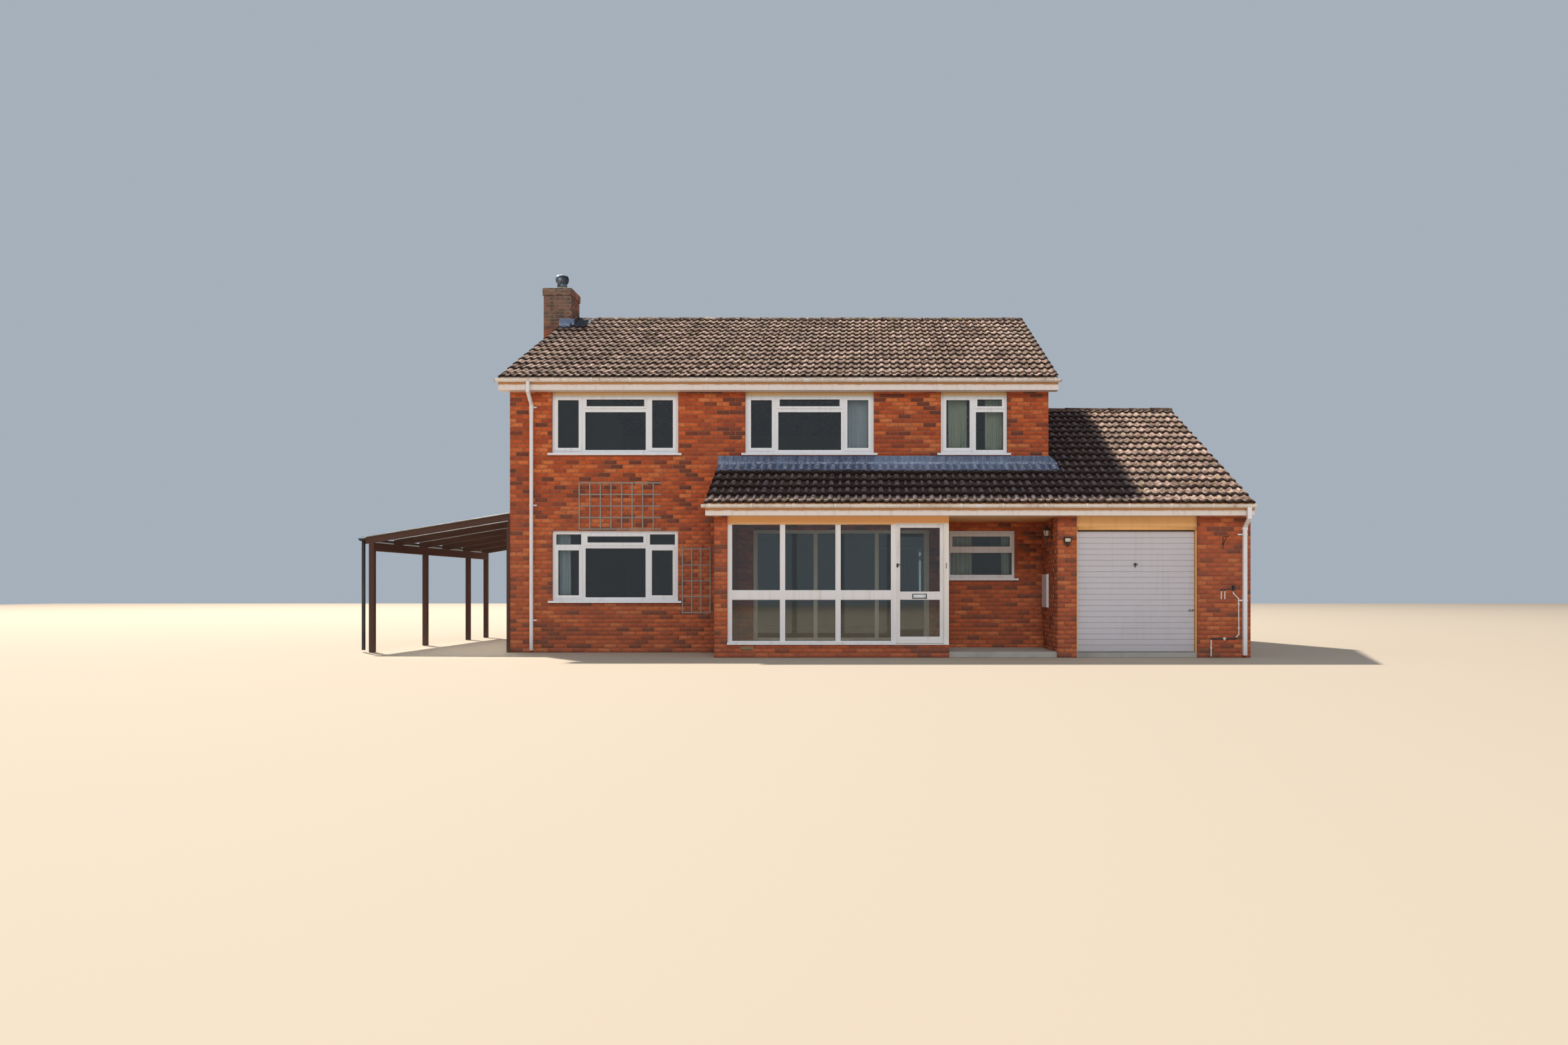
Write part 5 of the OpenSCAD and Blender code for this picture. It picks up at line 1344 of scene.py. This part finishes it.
piece("letter_flap", blocks((2.347, -5.7265, 0.988), (2.559, -5.7225, 1.047)), UPVC,
      "porch_door")
piece("door_bell", [blocks((2.890, -5.752, z), (2.906, -5.7445, z + 0.018))
                    for z in (1.487, 1.518, 1.549)], BLACK_PLASTIC)
piece("header_strip", blocks((5.062, WING + 0.031, 2.1205), (7.067, WING + 0.041, 2.178)),
      CREAM)
piece("garage_door_catch", [
    blocks((6.968, -5.7035, 0.772), (7.030, -5.6895, 0.802)),
    swept(circle(0.009, 10), [(6.985, -5.706, 0.787), (6.945, -5.706, 0.787)])],
    STEEL, "garage_door")
piece("meter_box_lock", swept(circle(0.011, 12), [(4.7065, -4.40, 1.11), (4.7025, -4.40, 1.11)]),
      BLACK_PLASTIC, angle=35)


def flaunching():
    """Mortar on the stack: from a square rim it rises and closes in to the round pot, the
    square and the circle blended by t and the height by a quarter sine of t."""
    angle = np.linspace(0, 2 * math.pi, 48, endpoint=False)
    middle, pot_radius = np.array([s0 + 0.30, (s2 + s3) / 2]), 0.108
    half = np.array([s1 - s0, s3 - s2]) / 2 + CORBEL - 0.012
    centre = np.array([(s0 + s1) / 2, (s2 + s3) / 2])
    edge = np.stack([np.cos(angle), np.sin(angle)], -1)
    square = edge / np.abs(edge).max(axis=1)[:, None] * half + centre
    round_ring = edge * pot_radius + middle
    t = np.array([0, 0, 0.25, 0.5, 0.75, 1.0])[:, None]
    rise = np.array([0.0005, 0.012, 0.025, 0.036, 0.043, 0.046])[:, None]
    flat = square[None] * (1 - t[..., None]) + round_ring[None] * t[..., None]
    flat = flat + 0.003 * np.sin(flat * 60)[..., ::-1] * (rise[..., None] > 0.001)
    grid = np.concatenate([flat, (STACK_TOP + rise + 0 * angle)[..., None]], -1)
    return capped(grid)


piece("stack_mortar", flaunching(), MORTAR, angle=50)


# Corrugated sheet of the carport
WAVE, SHEET_OUT, SHEET_TOP, RAFTERS_APART = 0.076, -7.495, 2.5, 1.2


def corrugated(y0, y1, x_in):
    """Clear sheet in waves across the fall, from its low edge in to x: z is the rafters' top
    and half a wave height times 1 + sin of y, and it dips a little between the rafters."""
    count = int((y1 - y0) / 0.0095) + 1
    y, x = np.meshgrid(np.linspace(y0, y1, count), np.linspace(SHEET_OUT, x_in, 7))
    wave = 0.0078 * (1 + np.sin(2 * math.pi * y / WAVE))
    sag = -0.0025 * np.abs(np.sin(math.pi * (y - FRONT) / RAFTERS_APART)) * np.sin(
        math.pi * (x - SHEET_OUT) / (LEFT - SHEET_OUT))
    z = SHEET_TOP - (LEFT - x) * RAFTER_FALL + 0.0022 + wave + np.clip(sag, -0.0015, 0)
    grid = np.stack([x, y, z], -1)
    return ribbon(grid[:, ::-1], 0.0016)


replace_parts(piece("corrugated_sheet", [
    corrugated(-4.36, -0.664, LEFT - 0.008), corrugated(-0.664, 0.026, -5.302),
    corrugated(0.026, 1.805, LEFT - 0.008)], SHEET, angle=60), "carport_sheet")
tops = []
for k in range(6):
    for x in np.linspace(-7.38, -4.95, 5):
        y = -4.2775 + RAFTERS_APART * k
        if -0.68 < y < 0.04 and x > -5.32:
            continue
        # On the crest of the wave next to the rafter
        y = WAVE * (round(y / WAVE) + 0.25)
        z = SHEET_TOP - (LEFT - x) * RAFTER_FALL + 0.0175
        tops.append(turned([(0.011, -0.002), (0.011, 0), (0.0075, 0.003)], (x, y, z), 8))
piece("sheet_screw_caps", tops, BLACK_PLASTIC, angle=35)

# Floor, light and camera
half, level = 60, -0.003
floor_mesh = bpy.data.meshes.new("floor")
floor_mesh.from_pydata([(-half, -half, level), (half, -half, level), (half, half, level),
                        (-half, half, level)], [], [(0, 1, 2, 3)])
floor_mesh.materials.append(Skin("pale_floor").finish((0.45, 0.375, 0.290, 1), 0.9))
floor = bpy.data.objects.new("floor", floor_mesh)
bpy.context.scene.collection.objects.link(floor)

world = bpy.data.worlds.new("studio")
world.use_nodes = True
bpy.context.scene.world = world
sky = world.node_tree.nodes["Background"]
sky.inputs["Color"].default_value = (0.76, 0.87, 1.0, 1)
sky.inputs["Strength"].default_value = 0.5
bpy.context.scene.view_settings.view_transform = "Standard"


def lamp(name, place, target, power, size, colour):
    """A round soft light: it tips by the angle whose cosine is minus the aim's z, then turns
    about the upright by the angle of the aim on the ground."""
    light = bpy.data.lights.new(name, "AREA")
    light.energy, light.shape, light.size, light.color = power, "DISK", size, colour
    thing = bpy.data.objects.new(name, light)
    thing.location = place
    aim = np.array(target, float) - np.array(place, float)
    aim /= np.linalg.norm(aim)
    thing.rotation_euler = (math.acos(-aim[2]), 0, math.atan2(-aim[0], aim[1]))
    bpy.context.scene.collection.objects.link(thing)


lamp("key", (-37.4, 38.1, 84.0), (1.5, -5, 2.5), 190000, 3, (1.0, 0.94, 0.85))
lamp("front_fill", (4, -40, 22), (1.5, -4, 2.5), 4600, 16, (1.0, 0.97, 0.94))

# The camera looks level along +Y; place, lens and shift come from the photo's perspective
eye = bpy.data.cameras.new("camera")
eye.lens, eye.sensor_width = 25.32, 36
eye.shift_x, eye.shift_y = -0.0516, 0.042
camera = bpy.data.objects.new("camera", eye)
camera.location = (1.541, -24.12, 1.15)
camera.rotation_euler = (math.radians(90), 0, 0)
bpy.context.scene.collection.objects.link(camera)
bpy.context.scene.camera = camera
